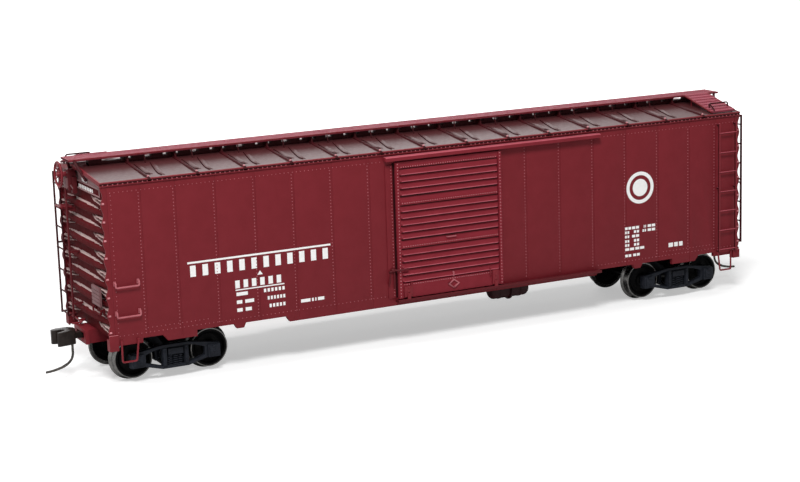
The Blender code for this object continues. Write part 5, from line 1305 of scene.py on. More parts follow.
@dataclass
class Doors:
    """Sliding doors of pressed ribs, with their fittings and tracks."""

    trees: Trees
    rib_pitch: float = 1.701
    rib_counts: tuple[int, ...] = (5, 5, 4)
    base_y: float = 17.0
    rib_depth: float = 0.75
    bottom_band: float = 4.0
    flat: float = 0.4
    seam_band: float = 2.44
    seam_depth: float = 0.6
    span: Pair = (-14.5, 15.3)
    strip_width: float = 0.95
    strip_depth: float = 0.6
    strip_rivets_z: Pair = (12.8, 46.2)
    brackets: tuple[tuple[float, float, float], ...] = ((-13.2, -10.9, 15.3), (12.0, 13.7, 16.3))
    bracket_bolts_z: Pair = (13.9, 15.0)
    card_x: float = 0.9
    card_z: float = 14.3
    card_half_width: float = 1.65
    card_half_height: float = 1.2
    handle_x: Pair = (-0.75, 1.75)
    handle_z: float = 26.5
    upper_rail_x: Pair = (-17.4, 44.6)
    lower_rail_x: Pair = (-15.0, 44.6)
    rail_face_y: float = 18.2
    gap_z: Pair = (12.6, 46.4)
    latch_z: float = 19.7
    rib_curve: tuple[Pair, ...] = (
        (0.0, 0.0), (0.02, 0.6), (0.06, 0.92), (0.12, 1.0), (0.2, 0.95), (0.3, 0.81), (0.42, 0.6),
        (0.55, 0.38), (0.7, 0.17), (0.83, 0.05), (0.94, 0.0))
    band_curve: tuple[Pair, ...] = (
        (0.0, 0.0), (0.02, 0.6), (0.05, 0.94), (0.09, 1.0), (0.3, 0.97), (0.48, 0.72), (0.66, 0.36),
        (0.82, 0.1), (0.95, 0.0))

    def profile(self) -> Outline:
        """Levels up the door, and how far the pressing stands out at each."""
        level = CAR.door_bottom_z
        flat = self.flat
        points = [(level, flat), (level + self.bottom_band - 0.3, flat),
                  (level + self.bottom_band - 0.1, 0.0)]
        level += self.bottom_band
        for index, count in enumerate(self.rib_counts):
            for _ in range(count):
                points += [(level + self.rib_pitch * rise, self.rib_depth * out)
                           for rise, out in self.rib_curve]
                level += self.rib_pitch
            if index < len(self.rib_counts) - 1:
                points += [(level + self.seam_band * rise, self.seam_depth * out)
                           for rise, out in self.band_curve]
                level += self.seam_band
        points += [(level, 0.0), (level + 0.1, flat), (CAR.door_top_z, flat)]
        merged = []
        for z, out in points:
            if merged and z - merged[-1][0] < 0.005:
                merged[-1] = (merged[-1][0], max(out, merged[-1][1]))
            else:
                merged.append((z, out))
        return merged

    def build(self) -> None:
        """Make the door sheets, rivets, fittings and tracks."""
        left, right = self.span
        low, high = left + self.strip_width, right - self.strip_width
        steps = [0.0, 0.04, 0.1, 0.2, 0.35, 0.5, 0.7]
        across = sorted({low + step for step in steps} | {high - step for step in steps}
                        | {left, left + 0.05, low - 0.06, low - 0.02, high + 0.02, high + 0.06,
                           right - 0.05, right} | set(spread(low + 1, high - 1, 3)))
        front, back = [], []
        for z, out in self.profile():
            row = []
            for x in across:
                depth = out
                inside = min(x - low, high - x)
                if inside < -0.01:
                    edge = min(x - left, right - x) < 0.01
                    depth = self.strip_depth - (0.06 if edge else 0.0)
                elif out > self.flat + 0.02:
                    ease = min(max(inside / 0.6, 0.0), 1.0)
                    depth = out * math.sqrt(1 - (1 - ease) ** 2)
                row.append((x, -self.base_y - depth, z))
            front.append(row)
            back.append([(x, -CAR.door_back_y, z) for x in across])
        door = Shell()
        door.relief(front, back)
        # Faces near the ribs' crests take the lighter paint, a painted highlight; faces in the
        # grooves take the shaded maroon, painted shade.
        lip, groove = self.base_y + self.rib_depth * 0.93, self.base_y + self.rib_depth * 0.07
        mesh = tone(door.mesh(sharp=50), (DOOR, HIGHLIGHT_PINK, SHADE_MAROON),
                    lambda face: 1 if -face.center.y / MM > lip else
                    2 * int(-face.center.y / MM < groove))
        place_twins("door_sheet_{}", mesh, DOOR, "door_{}", "door_{}")
        self.build_rivets()
        self.build_fittings()
        self.build_tracks()

    def build_rivets(self) -> None:
        """Rows up the edge strips, along the flat bands and at the foot of each seam band."""
        left, right = self.span
        half = self.strip_width / 2
        strip_y = -self.base_y - self.strip_depth
        foot_z, head_z = self.strip_rivets_z
        rows = [((x, strip_y, foot_z), (x, strip_y, head_z)) for x in (left + half, right - half)]
        # The door rivets take the lighter bolt paint: painted highlight.
        self.trees.rivets("door_edge_rivets_{}", rows, BOLT_HIGHLIGHT, "door_{}", Pitch=0.79, Radius=0.15)
        band = CAR.door_bottom_z + self.bottom_band + self.rib_pitch * self.rib_counts[0]
        upper = band + self.seam_band + self.rib_pitch * self.rib_counts[1]
        seam_y = -self.base_y - self.seam_depth
        low, high = left + 1.6, right - 1.6
        rows = [((low, seam_y, level + 0.55), (high, seam_y, level + 0.55))
                for level in (band, upper)]
        flat_y = -self.base_y - self.flat
        for level in (45.35, CAR.door_bottom_z + self.bottom_band - 0.65):
            rows.append(((low, flat_y, level), (high, flat_y, level)))
        self.trees.rivets("door_row_rivets_{}", rows, BOLT_HIGHLIGHT, "door_{}", Pitch=0.64, Radius=0.14,
                          Height=0.12)

    def build_fittings(self) -> None:
        """Roller brackets with their arms, card holder, handle and the bar above the card."""
        face, crest = self.base_y + self.flat, CAR.door_crest_y
        parts = Shell()
        for low, high, top in self.brackets:
            parts.box((low, -crest - 0.1, 12.6), (high, -face + 0.2, top))
            arm = (low + high) / 2 + 0.1
            parts.box((arm - 0.45, -crest - 0.35, 11.5), (arm + 0.45, -face, 13.6))
            hook = high - 0.25 if low < 0 else low - 0.6
            parts.bar(rounded([(hook, -face, top + 0.5), (hook, -crest, top + 0.9),
                               (hook, -crest, top - 1.2)], 0.3, 3), 0.2, 6)
            for level in self.bracket_bolts_z:
                parts.bolt((arm, -crest - 0.1, level), (0, -1, 0), 0.32, 0.2, 0.16)
        place_twins("door_fittings_{}", parts.mesh(0.05), TRIM, body="door_{}")
        card = Shell()
        card_x, card_z = self.card_x, self.card_z
        wide, tall = self.card_half_width, self.card_half_height
        diamond = [(card_x + wide, card_z), (card_x, card_z + tall), (card_x - wide, card_z),
                   (card_x, card_z - tall)]
        inner = [(card_x + (x - card_x) * 0.72, card_z + (z - card_z) * 0.72) for x, z in diamond]
        for index in range(4):
            after = (index + 1) % 4
            card.prism([diamond[index], diamond[after], inner[after], inner[index]],
                       -crest - 0.02, -face + 0.2, Plane.XZ)
        card.box((0.7, -crest, 16.2), (1.0, -face + 0.2, 17.4))
        left, right = self.handle_x
        handle = [(left, -face), (left, -crest - 0.1), (right, -crest - 0.1), (right, -face)]
        card.bar(rounded([(x, y, self.handle_z) for x, y in handle], 0.15, 3), 0.14, 6)
        # The card holder and handle take the lighter rivet paint: painted highlight.
        place_twins("door_card_{}", card.mesh(0.04), RIVET_HIGHLIGHT, body="door_{}")

    def build_tracks(self) -> None:
        """Tracks, near-black boxes in the gaps beside the door as painted shadow, and the latch
        with its hanging levers.
        """
        wall, face = CAR.half_width, self.rail_face_y
        upper = Shell()
        top = CAR.door_top_z + 1.6
        upper.prism([(-wall, top - 0.9), (-face + 0.2, top - 0.95), (-face + 0.2, top - 1.05),
                     (-face, top - 1.05), (-face, top - 0.2), (-face + 0.15, top),
                     (-wall, top + 0.05)], *self.upper_rail_x, Plane.YZ)
        # The rail's top faces take the lighter paint: painted highlight.
        mesh = tone(upper.mesh(0.06), (DOOR, HIGHLIGHT_PINK), lambda face: int(face.normal.z > 0.45))
        place_twins("upper_rail_{}", mesh, DOOR, "upper_track_{}")
        lower = Shell()
        top = CAR.door_bottom_z - 0.15
        lower.prism([(-wall, top - 0.75), (-face + 0.1, top - 0.75), (-face, top - 0.6),
                     (-face, top - 0.1), (-face + 0.15, top), (-face + 0.3, top - 0.12),
                     (-wall, top - 0.12)], *self.lower_rail_x, Plane.YZ)
        place_twins("lower_rail_{}", lower.mesh(0.04), SILL, "lower_track_{}")
        # Near-black boxes in the gaps beside the door: painted shadow.
        gap = Shell()
        (low, high), (first, last) = self.gap_z, self.span
        for left, right in ((first - 0.6, first + 0.1), (last - 0.1, last + 0.3)):
            gap.box((left, -wall - 0.12, low), (right, -wall + 0.2, high))
        place_twins("door_seal_{}", gap.mesh(), GAP_SHADOW)
        latch = Shell()
        back, front, z = -17.1, -18.0, self.latch_z
        latch.bar([(-16.9, back, z - 0.4), (-15.6, back, z), (-14.8, front, z), (-12.0, front, z)],
                  0.24, 8)
        latch.turned([(0, 0.6), (0.35, 0.5), (0.5, 0.3), (0.5, -0.2), (0, -0.2)],
                     (-15.9, back + 0.1, z), (0, -1, 0), 10)
        latch.bar([(-16.6, back, 18.9), (-17.0, back, 16.0)], 0.2, 6)
        latch.bar([(-15.6, back, 19.2), (-15.5, back, 15.0)], 0.2, 6)
        place_twins("door_latch_{}", latch.mesh(sharp=50), SILL)


@dataclass
class Irons:
    """Ladders, hand holds, steps, uncoupling levers and tack boards."""

    wire: float = 0.22
    rung_count: int = 7
    side_ladder_x: float = 85.2
    side_ladder_z: Pair = (12.1, 47.1)
    end_ladder_y: float = 11.7
    end_ladder_z: Pair = (13.2, 48.3)
    stile: Pair = (0.5, 0.4)
    grab_x: float = 84.75
    grab_levels: tuple[tuple[str, float], ...] = (("upper", 25.9), ("lower", 18.8))
    end_grab: Point = (89.55, 11.2, 19.2)
    step_inset: float = 2.9
    step_z: float = 6.8
    step_top_z: float = 12.0
    step_width: float = 3.5
    step_spread: float = 0.7
    board_y: Pair = (7.3, 13.3)
    board_z: Pair = (19.7, 24.3)
    sides: int = 10

    def ladder(self, width: float, low: float, high: float, stand: float = 0.8) -> Shell:
        """Ladder off a wall at y = 0 that faces -Y.

        Args:
            width: Distance between its stiles' middles.
            low: Level of its foot.
            high: Level of its top.
            stand: Clearance between the wall and the stiles.

        Returns:
            The shell.
        """
        shell = Shell()
        near, wide, deep = -stand, *self.stile
        for side in (-1, 1):
            middle = side * width / 2
            shell.box((middle - wide / 2, near - deep, low), (middle + wide / 2, near, high))
            for level in (low + 0.25, (low + high) / 2, high - 0.35):
                shell.box((middle - wide / 2, near, level - 0.2), (middle + wide / 2, 0.0,
                                                                   level + 0.2))
        pitch = (high - low - 2.7 - 0.5) / (self.rung_count - 1)
        for index in range(self.rung_count):
            level = low + 0.5 + pitch * index
            reach = width / 2 + 0.12
            shell.bar([(-reach, near - deep / 2, level), (reach, near - deep / 2, level)], 0.2,
                      self.sides)
            for side in (-1, 1):
                shell.turned([(0, 0.12), (0.14, 0.08), (0.19, -0.02), (0, -0.02)],
                             (side * width / 2, near - deep, level), (0, -1, 0), 8)
        return shell

    def build(self) -> None:
        """Make every wire fitting of the body."""
        # Upper faces take the lighter paint, a painted highlight; side and lower faces take the
        # shaded maroon, painted shade.
        side = tone(self.ladder(5.4, *self.side_ladder_z).mesh(0.03),
                    (TRIM, HIGHLIGHT_PINK, SHADE_MAROON), lambda face: 1 if face.normal.z > 0.3 else
                    2 * int(abs(face.normal.x) > 0.7 or face.normal.z < -0.4))
        move(side, (self.side_ladder_x, -CAR.panel_face_y, 0))
        place_twins("side_ladder_iron_{}", side, TRIM, "side_ladder_{}")
        for name, side, stand in (("plain", 1, 2.9), ("brake", -1, 2.1)):
            # The end ladders take the shaded maroon: painted shade.
            end = self.ladder(4.9, *self.end_ladder_z, stand).mesh(0.03)
            place = (side * CAR.end_face_x, side * -self.end_ladder_y, 0)
            move(end, place, side * math.pi / 2)
            place_piece("end_ladder_iron_" + name, end, SHADE_MAROON, "end_ladder_" + name)
        self.build_grabs()
        self.build_steps()
        self.build_levers()
        self.build_tack_boards()

    def grab(self) -> Shell:
        """Drop hand hold off a wall at y = 0, bolted through two small plates."""
        shell = Shell()
        half, drop, out = 2.85, 1.1, 0.9
        shell.bar(rounded([(-half, 0.1, 0), (-half, -out, 0), (-half, -out, -drop),
                           (half, -out, -drop), (half, -out, 0), (half, 0.1, 0)], 0.35), self.wire,
                  self.sides)
        for side in (-1, 1):
            shell.box((side * half - 0.3, -0.22, -0.75), (side * half + 0.3, 0.1, 0.35))
            shell.turned([(0, 0.2), (0.15, 0.17), (0.22, 0.02), (0, 0.02)],
                         (side * half, -0.2, -0.5), (0, -1, 0), 8)
        return shell

    def build_grabs(self) -> None:
        """Hand holds on the sides and the ends."""
        for name, level in self.grab_levels:
            # The side hand holds take the lighter rivet paint: painted highlight.
            mesh = self.grab().mesh(0.04)
            move(mesh, (-self.grab_x, -CAR.panel_face_y, level))
            place_twins("hand_hold_{}_" + name, mesh, RIVET_HIGHLIGHT, "grab_{}_" + name)
        # The end hand holds take the end's shaded paint: painted shade.
        mesh = self.grab().mesh(0.04)
        move(mesh, self.end_grab, math.pi / 2)
        place_twins("end_hand_hold_{}", mesh, END_SHADE, "end_grab_{}", twins=Twins.ENDS)

    def build_steps(self) -> None:
        """Stirrup steps below the four corners."""
        y, foot, top = -CAR.half_width - 0.35, self.step_z, self.step_top_z
        for side, twins in ((1, Twins.RIGHT_CORNERS), (-1, Twins.LEFT_CORNERS)):
            outer = side * (CAR.half_length - self.step_inset)
            inner = outer - side * self.step_width
            lean = side * self.step_spread
            shell = Shell()
            shell.bar(rounded([(outer, y, top), (outer, y, foot), (inner, y, foot),
                               (inner - lean, y, top)], 0.5), 0.24, self.sides)
            shell.box((outer, y - 0.3, foot - 0.1), (inner, y + 0.3, foot + 0.12))
            for x in (outer, inner - side * 0.65):
                shell.box((x - 0.3, y - 0.1, top - 0.8), (x + 0.3, y + 0.4, top + 0.1))
            place_twins("stirrup_{}_{}", shell.mesh(0.05), TRIM, "step_{}_{}", twins=twins)

    def build_levers(self) -> None:
        """Uncoupling levers on their brackets."""
        x, z = CAR.half_length + 0.7, CAR.base_z + 0.8
        shell = Shell()
        shell.bar(rounded([(x + 2.6, -0.9, z), (x, -0.9, z), (x, -11.8, z), (x, -11.8, z - 3.0)],
                          0.6), self.wire, self.sides)
        for share in (0.2, 0.85):
            y = -0.9 - 10.9 * share
            shell.box((CAR.end_face_x, y - 0.25, z - 0.3), (x + 0.25, y + 0.25, z + 0.3))
        place_twins("lever_iron_{}", shell.mesh(0.05), TRIM, "uncoupling_lever_{}",
                    twins=Twins.ENDS)

    def build_tack_boards(self) -> None:
        """Small wooden boards of five planks, one on each end."""
        board = Shell()
        back = CAR.half_length + 0.1
        (near, far), (foot, top) = self.board_y, self.board_z
        board.box((back, near, foot), (back + 0.3, far, top))
        for index in range(5):
            low = foot + 0.05 + index * 0.92
            board.box((back + 0.2, near + 0.05, low), (back + 0.5, far - 0.05, low + 0.78))
        place_twins("tack_board_wood_{}", board.mesh(0.04), TACK, "tack_board_{}", twins=Twins.ENDS)


@dataclass
class BrakeGear:
    """Hand brake at the brake end: wheel, housing, rod and platform."""

    trees: Trees
    y: float = 3.4
    wheel_x: float = -93.2
    wheel_z: float = 49.2
    radius: float = 3.2
    rim: float = 0.27
    rim_steps: int = 48
    spokes: int = 6
    housing_x: Pair = (-91.4, -89.4)
    housing_half_width: float = 1.7
    rod_x: float = -91.7
    rod_z: Pair = (45.8, 13.5)
    rod_brackets_z: tuple[float, ...] = (43.4, 30.2, 17.5)
    wall_x: float = -89.2
    platform_z: float = 41.1
    platform_y: float = 6.3
    platform_width: float = 4.4
    platform_reach: float = 3.2

    def build(self) -> None:
        """Make the gear."""
        self.build_wheel()
        self.build_housing()
        rod = Shell()
        rod.bar([(self.rod_x, self.y, z) for z in self.rod_z], 0.26, 10)
        for level in self.rod_brackets_z:
            rod.box((self.rod_x - 0.3, self.y - 0.35, level - 0.25),
                    (self.wall_x, self.y + 0.35, level + 0.25))
        place_piece("brake_rod_iron", rod.mesh(0.04), SILL, "brake_rod")
        self.build_platform()

    def build_wheel(self) -> None:
        """Round rim, spokes dished towards the hub, and the hub on its shaft."""
        wheel = Shell()
        centre = Vector((self.wheel_x, self.y, self.wheel_z))
        ring, along = self.radius - self.rim, Vector((1, 0, 0))

        def outward(index: int, count: int, start: float = 0.0) -> Vector:
            """Direction out of the middle to one of count places round the wheel."""
            angle = 2 * math.pi * index / count + start
            return Vector((0, math.cos(angle), math.sin(angle)))

        turns = [2 * math.pi * step / 8 for step in range(8)]
        rings = []
        for way in (outward(index, self.rim_steps) for index in range(self.rim_steps)):
            rings.append([centre + way * ring
                          + (way * math.cos(turn) + along * math.sin(turn)) * self.rim
                          for turn in turns])
        wheel.skin(rings, closed=True)
        for way in (outward(index, self.spokes, math.pi / 2) for index in range(self.spokes)):
            wheel.bar([centre + along * 0.5, centre + way * ring * 0.55 + along * 0.3,
                       centre + way * ring], 0.17, 6)
        wheel.turned([(0, -0.5), (0.5, -0.45), (0.62, -0.2), (0.62, 1.9), (0, 1.9)],
                     tuple(centre), (1, 0, 0), 16)
        place_piece("brake_wheel_iron", wheel.mesh(sharp=50), TRIM, "brake_wheel")

    def build_housing(self) -> None:
        """Cast housing with its cover, bolts and release lever."""
        front, back = self.housing_x
        low, high = self.y - self.housing_half_width, self.y + self.housing_half_width
        housing, details = Shell(), Shell()
        housing.prism([(low + 0.3, 45.2), (high - 0.3, 45.2), (high, 46.0), (high, 49.4),
                       (high - 0.6, 50.3), (low + 0.6, 50.3), (low, 49.4), (low, 46.0)], front,
                      back, Plane.YZ)
        housing.box((-90.6, low - 0.5, 44.6), (back, low + 1.0, 48.6))
        place_piece("brake_housing_cast", housing.mesh(0.2), SILL, "brake_housing")
        details.prism([(low + 0.7, 45.7), (high - 0.7, 45.7), (high - 0.4, 46.4),
                       (high - 0.4, 48.2), (low + 0.4, 48.2), (low + 0.4, 46.4)], front - 0.3,
                      front + 0.1, Plane.YZ)
        for y in (low + 0.5, high - 0.5):
            for z in (46.3, 49.6):
                details.bolt((front, y, z), (-1, 0, 0), 0.24, 0.16, 0.2)
        details.bar([(-90.9, low, 46.6), (-90.9, low - 1.6, 46.0)], 0.18, 6)
        place_piece("brake_housing_bolts", details.mesh(0.06), TACK)

    def build_platform(self) -> None:
        """Grated step on two brackets."""
        level, reach, wall = self.platform_z, self.platform_reach, self.wall_x
        mesh = self.trees.grating.make([(0, 0, 0)], TRIM, Length=reach, Width=self.platform_width,
                                       Thickness=0.4, Bar=0.4, Cross_Bar=0.4, Bars=8, Cross_Bars=5)
        move(mesh, (-90.0 - reach / 2, self.platform_y, level - 0.2))
        place_piece("brake_platform_grating", mesh, TRIM, "brake_platform")
        brackets = Shell()
        for side in (-1, 1):
            y = self.platform_y + side * (self.platform_width / 2 - 0.5)
            brackets.prism([(wall, level - 0.35), (-93.0, level - 0.35), (-93.0, level - 0.6),
                            (wall, level - 1.4)], y - 0.2, y + 0.2, Plane.XZ)
        place_piece("brake_platform_brackets", brackets.mesh(0.04), SILL)


@dataclass
class Underframe:
    """Air gear below the floor, dressed frame members and draft gear."""

    tank_x: float = 21.5
    tank_y: float = -8.5
    tank_drop: float = 1.7
    tank_radius: float = 2.3
    tank_half_length: float = 5.9

    def build(self) -> None:
        """Make the round tanks and dress what stays."""
        tank = Shell()
        x, y, radius, half = self.tank_x, self.tank_y, self.tank_radius, self.tank_half_length
        z = CAR.base_z - self.tank_drop - radius
        profile = [(0, half), (radius * 0.45, half - 0.1), (radius * 0.8, half - 0.55),
                   (radius * 0.95, half - 1.0), (radius, half - 1.4), (radius, 0.3),
                   (radius + 0.5, 0.25)]
        profile += [(out, -along) for out, along in reversed(profile)]
        tank.turned(profile, (x, y, z), (1, 0, 0), 40)
        for offset in (-half / 2, half / 2):
            tank.turned([(radius + 0.1, 0.3), (radius + 0.1, -0.3), (radius - 0.1, -0.3),
                         (radius - 0.1, 0.3), (radius + 0.1, 0.3)], (x + offset, y, z),
                        (1, 0, 0), 40)
            tank.box((x + offset - 0.3, y - 0.6, z + radius - 0.2),
                     (x + offset + 0.3, y + 0.6, CAR.base_z))
        tank.bar(rounded([(x, y + radius, z), (x, y + 5, z), (x - 3, y + 6, z + 2)], 0.8), 0.25)
        place_piece("air_reservoir_tank", tank.mesh(sharp=35), TANK, "air_reservoir")
        softened(["brake_cylinder", "control_valve"], "_cast", UNDER, "car", 0.12)
        softened(["brake_levers", "centre_sill"], "_iron", UNDER, "car", 0.06)
        softened(["draft_box_plain", "draft_box_brake"], "_cast", BODY, "car", 0.14)
        for node, finish in (("floor", UNDER), ("ballast", BALLAST), ("side_near", BODY),
                             ("side_far", BODY)):
            for slot in frame["nodes"][node].material_slots:
                slot.material = finish.material()


@dataclass
class Couplers:
    """Knuckle couplers with cast heads and curled trip pins."""

    pivot_x: float = 85.3
    reach: float = 13.0

    def build(self) -> None:
        """Make both couplers."""
        for node in ("coupler_plain", "coupler_brake"):
            softened([node], "_cast", COUPLER, node, 0.22)
        pin = Shell()
        x = self.pivot_x + self.reach - 4.7
        top, drop, run = CAR.coupler_z - 1.2, 7.0, 6.9
        path = [(x, 0, top)]
        for share, fall in ((0.0, 0.25), (0.0, 0.43), (0.02, 0.54), (0.06, 0.64), (0.13, 0.73),
                            (0.23, 0.81), (0.36, 0.875), (0.52, 0.925), (0.68, 0.962),
                            (0.85, 0.985), (1.0, 0.995)):
            path.append((x + run * share, 0, CAR.coupler_z - 1.7 - (drop - 0.5) * fall))
        pin.bar(path, 0.3, 10)
        place_twins("trip_pin_{}", pin.mesh(), PIN, body="coupler_{}", twins=Twins.ENDS)


@dataclass
class Trucks:
    """Trucks: cast side frames, bolster, coil springs, brake shoes and turned wheels."""

    trees: Trees
    tread: float = 4.8
    flange: float = 5.45
    back_y: float = 7.2
    wheel_width: float = 2.8
    hub: float = 1.8
    axle: float = 0.75
    frame_y: float = 11.3
    frame_thickness: float = 1.5
    spring_low: float = 3.3
    spring_high: float = 5.9
    column_x: float = 2.75
    column_bolts_z: Pair = (4.2, 6.9)
    lid_y: Pair = (13.5, 13.75)

    def wheel_profile(self) -> tuple[Outline, Outline]:
        """Cross-sections of a wheel's bright rim and of its dark plate with the axle."""
        back, face = self.back_y, self.back_y + self.wheel_width
        inner = self.tread - 0.3
        rim = [(inner, face + 0.01), (self.tread - 0.1, face + 0.01),
               (self.tread - 0.02, face - 0.08),
               (self.tread + 0.04, back + 1.1), (self.tread + 0.12, back + 0.85),
               (self.tread + 0.35, back + 0.68), (self.flange - 0.06, back + 0.5),
               (self.flange, back + 0.35), (self.flange - 0.05, back + 0.18),
               (self.flange - 0.25, back + 0.04), (inner, back), (inner, face + 0.01)]
        plate = [(0, self.frame_y + 1.6), (self.axle * 0.6, self.frame_y + 1.5),
                 (self.axle, self.frame_y + 1.0), (self.axle, face + 0.35),
                 (self.axle + 0.35, face + 0.3), (self.hub - 0.15, face),
                 (self.hub, face - 0.2), (self.hub + 0.1, face - 0.55),
                 (self.hub + 0.5, face - 0.8), (inner - 1.3, face - 1.0), (inner - 0.8, face - 0.7),
                 (inner - 0.6, face - 0.1), (inner - 0.5, face), (inner + 0.03, face),
                 (inner + 0.03, back + 0.02), (inner - 0.6, back + 0.05), (inner - 0.7, back + 0.5),
                 (self.hub + 0.3, back + 0.5), (self.hub, back + 0.05), (self.axle, back - 0.1)]
        return rim, plate

    def build(self) -> None:
        """Make both trucks."""
        for end, side in (("plain", 1), ("brake", -1)):
            self.build_frames(end)
            for axle, step in (("outer", side), ("inner", -side)):
                self.build_wheels(f"wheelset_{end}_{axle}",
                                  side * CAR.truck_x + step * CAR.wheelbase / 2)

    def build_wheels(self, node: str, x: float) -> None:
        """Turn one wheelset: dark plates and axle, bright rims."""
        rim, plate = self.wheel_profile()
        centre = (x, 0, CAR.axle_z)
        dark, bright = Shell(), Shell()
        whole = plate + [(radius, -along) for radius, along in reversed(plate)]
        dark.turned(whole, centre, (0, 1, 0), 48)
        for side in (-1, 1):
            bright.turned([(radius, side * along) for radius, along in rim], centre, (0, 1, 0), 64)
        place_piece(node + "_plates", dark.mesh(sharp=30), WHEEL, node, node)
        place_piece(node + "_rims", bright.mesh(sharp=30), STEEL, body=node)

    def build_frames(self, end: str) -> None:
        """Side frames and bolster of one truck, with what is cast or bolted on them."""
        body = f"truck_{end}"
        centre = CAR.truck_x if end == "plain" else -CAR.truck_x
        softened([f"side_frame_{end}_near", f"side_frame_{end}_far"], "_cast", TRUCK, body, 0.16)
        iron = Shell()
        front = self.frame_y + self.frame_thickness
        for side in (-1, 1):
            self.add_irons(iron, centre, side, front)
        for offset in (-1, 1):
            x = centre + offset * (CAR.wheelbase / 2 - self.flange - 0.9)
            iron.box((x - 0.4, -9.2, CAR.axle_z - 1.5), (x + 0.4, 9.2, CAR.axle_z + 1.1))
        place_piece(f"truck_irons_{end}", iron.mesh(0.1), TRUCK, body=body)
        bolster = Shell()
        half = [(2.6, 9.8), (2.6, 9.4), (self.frame_y - 0.1, 7.45), (front, 7.45), (front, 5.8),
                (self.frame_y - 0.1, 5.8), (2.6, 5.95)]
        outline = half + [(-y, z) for y, z in reversed(half)]
        bolster.prism(outline, centre - 1.85, centre + 1.85, Plane.YZ)
        place_piece(f"bolster_cast_{end}", bolster.mesh(0.15), TRUCK, f"bolster_{end}", body)
        feet = [(centre + along, side * (self.frame_y + self.frame_thickness / 2 + lean),
                 self.spring_low) for side in (-1, 1) for along in (-1.25, 0.0, 1.25)
                for lean in ((0.25,) if along else (0.55,))]
        mesh = self.trees.springs.make(feet, TRUCK, Radius=0.55, Wire=0.16,
                                       Height=self.spring_high - self.spring_low, Coils=5)
        place_piece(f"truck_springs_{end}", mesh, TRUCK, body=body)

    def add_irons(self, iron: Shell, centre: float, side: int, front: float) -> None:
        """Add the columns, box lids, brake shoes and plates at one side of a truck.

        Args:
            iron: Shell that they are added to.
            centre: The truck's place along the car.
            side: -1 for the near side, 1 for the far side.
            front: Distance of the frame's outer face from the car's middle.
        """
        out = side * (front + 0.35)
        for offset in (-1, 1):
            column = centre + offset * self.column_x
            iron.box((column - 0.45, side * (front + 0.05), 3.4), (column + 0.45, out, 7.6))
            for level in self.column_bolts_z:
                iron.bolt((column, out, level), (0, side, 0), 0.22, 0.15, 0.2)
            box_x = centre + offset * CAR.wheelbase / 2
            lid, tip = (side * y for y in self.lid_y)
            iron.box((box_x - 1.15, lid, CAR.axle_z - 1.0), (box_x + 1.15, tip, CAR.axle_z + 1.25))
            iron.box((box_x - 0.55, lid, CAR.axle_z + 0.95),
                     (box_x + 0.55, tip + side * 0.2, CAR.axle_z + 1.45))
            iron.bolt((box_x, tip, CAR.axle_z - 0.1), (0, side, 0), 0.42, 0.3, 0.22, steps=10)
            shoe_x = centre + offset * (CAR.wheelbase / 2 - self.flange - 0.35)
            iron.box((shoe_x - 0.35, side * (self.back_y + 0.5), CAR.axle_z - 1.4),
                     (shoe_x + 0.3, side * (self.back_y + 2.6), CAR.axle_z + 1.4))
        iron.box((centre - 1.9, side * (front - 0.2), 5.9), (centre + 1.9, out, 7.35))
        iron.box((centre - 2.2, 0, 2.6), (centre + 2.2, side * (front + 0.2), 3.3))
        iron.box((centre - 2.4, side * (self.frame_y - 0.3), 2.8),
                 (centre + 2.4, side * self.frame_y, 7.2))


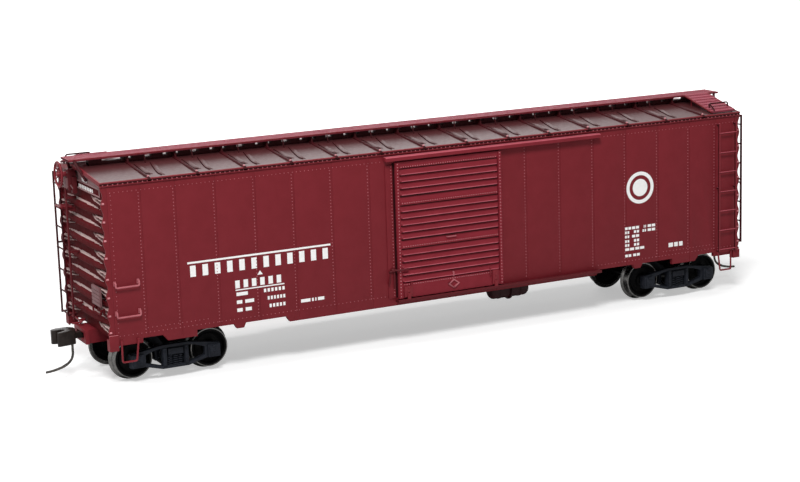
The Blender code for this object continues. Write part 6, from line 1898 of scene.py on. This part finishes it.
@dataclass
class Markings:
    """Plain white bars and discs where the model is marked, 0.03 mm over the paint."""

    shell: Shell = field(default_factory=Shell)
    face_y: float = CAR.panel_face_y
    lift: float = 0.03
    end_rows: tuple[tuple[float, float, int, float], ...] = (
        (1.6, 5.4, 4, 47.8), (-1.2, 9.8, 9, 45.9))

    def build(self) -> None:
        """Mark both sides and both ends."""
        self.bar(-69.5, -32.4, 28.03, 28.48)
        self.blocks(-68.9, 24.85, 27.55, (1.4,) * 12, 1.72)
        self.blocks(-57.7, 20.6, 22.5, (1.15,) * 6, 1.0)
        self.bar(-57.7, -45.0, 20.02, 20.3)
        self.shell.prism([(-51.9, 23.2), (-50.5, 23.2), (-51.2, 24.2)], -self.face_y + 0.05,
                         -self.face_y - self.lift, Plane.XZ)
        for low, left, start, count in ((18.7, (2.9,), -50.4, 6), (16.75, (1.4, 2.3), -49.5, 6),
                                        (14.8, (1.4, 1.6), -49.1, 5)):
            self.blocks(-57.5, low, low + 0.85, left, 0.75)
            width = (-44.6 - start) / count
            self.blocks(start, low, low + 0.85, (width * 0.62,) * count, width * 0.38)
        self.blocks(-40.8, 14.8, 15.6, (2.5, 0.5, 0.3, 1.7), 0.4)
        for outer, inner in ((4.25, 3.3), (2.3, 0.0)):
            self.ring(57.7, 32.4, outer, inner)
        self.columns()
        self.blocks(66.7, 15.2, 16.35, (1.4, 1.15, 1.15), 0.4)
        place_twins("side_markings_{}", self.shell.mesh(), MARKING)
        ends = Shell()
        x = CAR.end_face_x + 0.04
        for low, high, count, level in self.end_rows:
            for index in range(count):
                left = low + (high - low) * index / count
                ends.box((x - 0.2, left, level), (x + 0.08, left + 0.75, level + 1.05))
        place_twins("end_markings_{}", ends.mesh(), MARKING, twins=Twins.ENDS)

    def columns(self) -> None:
        """Add the rows of small blocks below the disc."""
        first, second, third = (52.9, 54.8), (55.1, 57.3), (60.05, 62.4)
        narrow, short, tail = (52.9, 54.2), (55.7, 57.3), (58.4, 59.5)
        rows = ((21.5, (first, second, (58.8, 59.5), third)), (20.4, (narrow, short, tail, third)),
                (19.25, (narrow, second)), (18.05, (narrow, short)), (16.95, (narrow, short)),
                (15.85, ((52.9, 55.7), (56.1, 58.9))), (14.15, (first, (55.4, 57.5))))
        for level, spans in rows:
            for left, right in spans:
                middle = (left + right) / 2
                self.bar(left, middle - 0.12, level, level + 0.7)
                self.bar(middle + 0.12, right, level, level + 0.7)

    def bar(self, left: float, right: float, low: float, high: float) -> None:
        """Add a plain bar."""
        self.shell.box((left, -self.face_y - self.lift, low), (right, -self.face_y + 0.05, high))

    def blocks(self, left: float, low: float, high: float, widths: Sequence[float],
               gap: float) -> None:
        """Add a row of plain blocks."""
        for width in widths:
            self.bar(left, left + width, low, high)
            left += width + gap

    def ring(self, x: float, z: float, outer: float, inner: float) -> None:
        """Add a flat ring, or a disc where its inner radius is 0."""
        self.shell.turned([(inner, -0.05), (outer, -0.05), (outer, self.lift), (inner, self.lift),
                           (inner, -0.05)], (x, -self.face_y, z), (0, -1, 0), 64)


def main() -> None:
    """Build the studio and every sub-assembly, and report each piece."""
    logging.basicConfig(level=logging.INFO, format="%(name)s: %(message)s")
    bpy.context.scene.view_settings.view_transform = "Standard"
    Studio().build()
    trees = Trees()
    seen: set[str] = set()
    for part in (Sides(trees), Ends(), Roof(trees), RoofWalk(trees), Doors(trees), Irons(),
                 BrakeGear(trees), Underframe(), Couplers(), Trucks(trees), Markings()):
        part.build()
        made = [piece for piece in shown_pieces() if piece.name not in seen
                and "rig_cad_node" not in piece]
        for piece in made:
            seen.add(piece.name)
            LOG.info("%s: %s, %d faces", type(part).__name__, piece.name, len(piece.data.polygons))


if __name__ == "__main__":
    main()
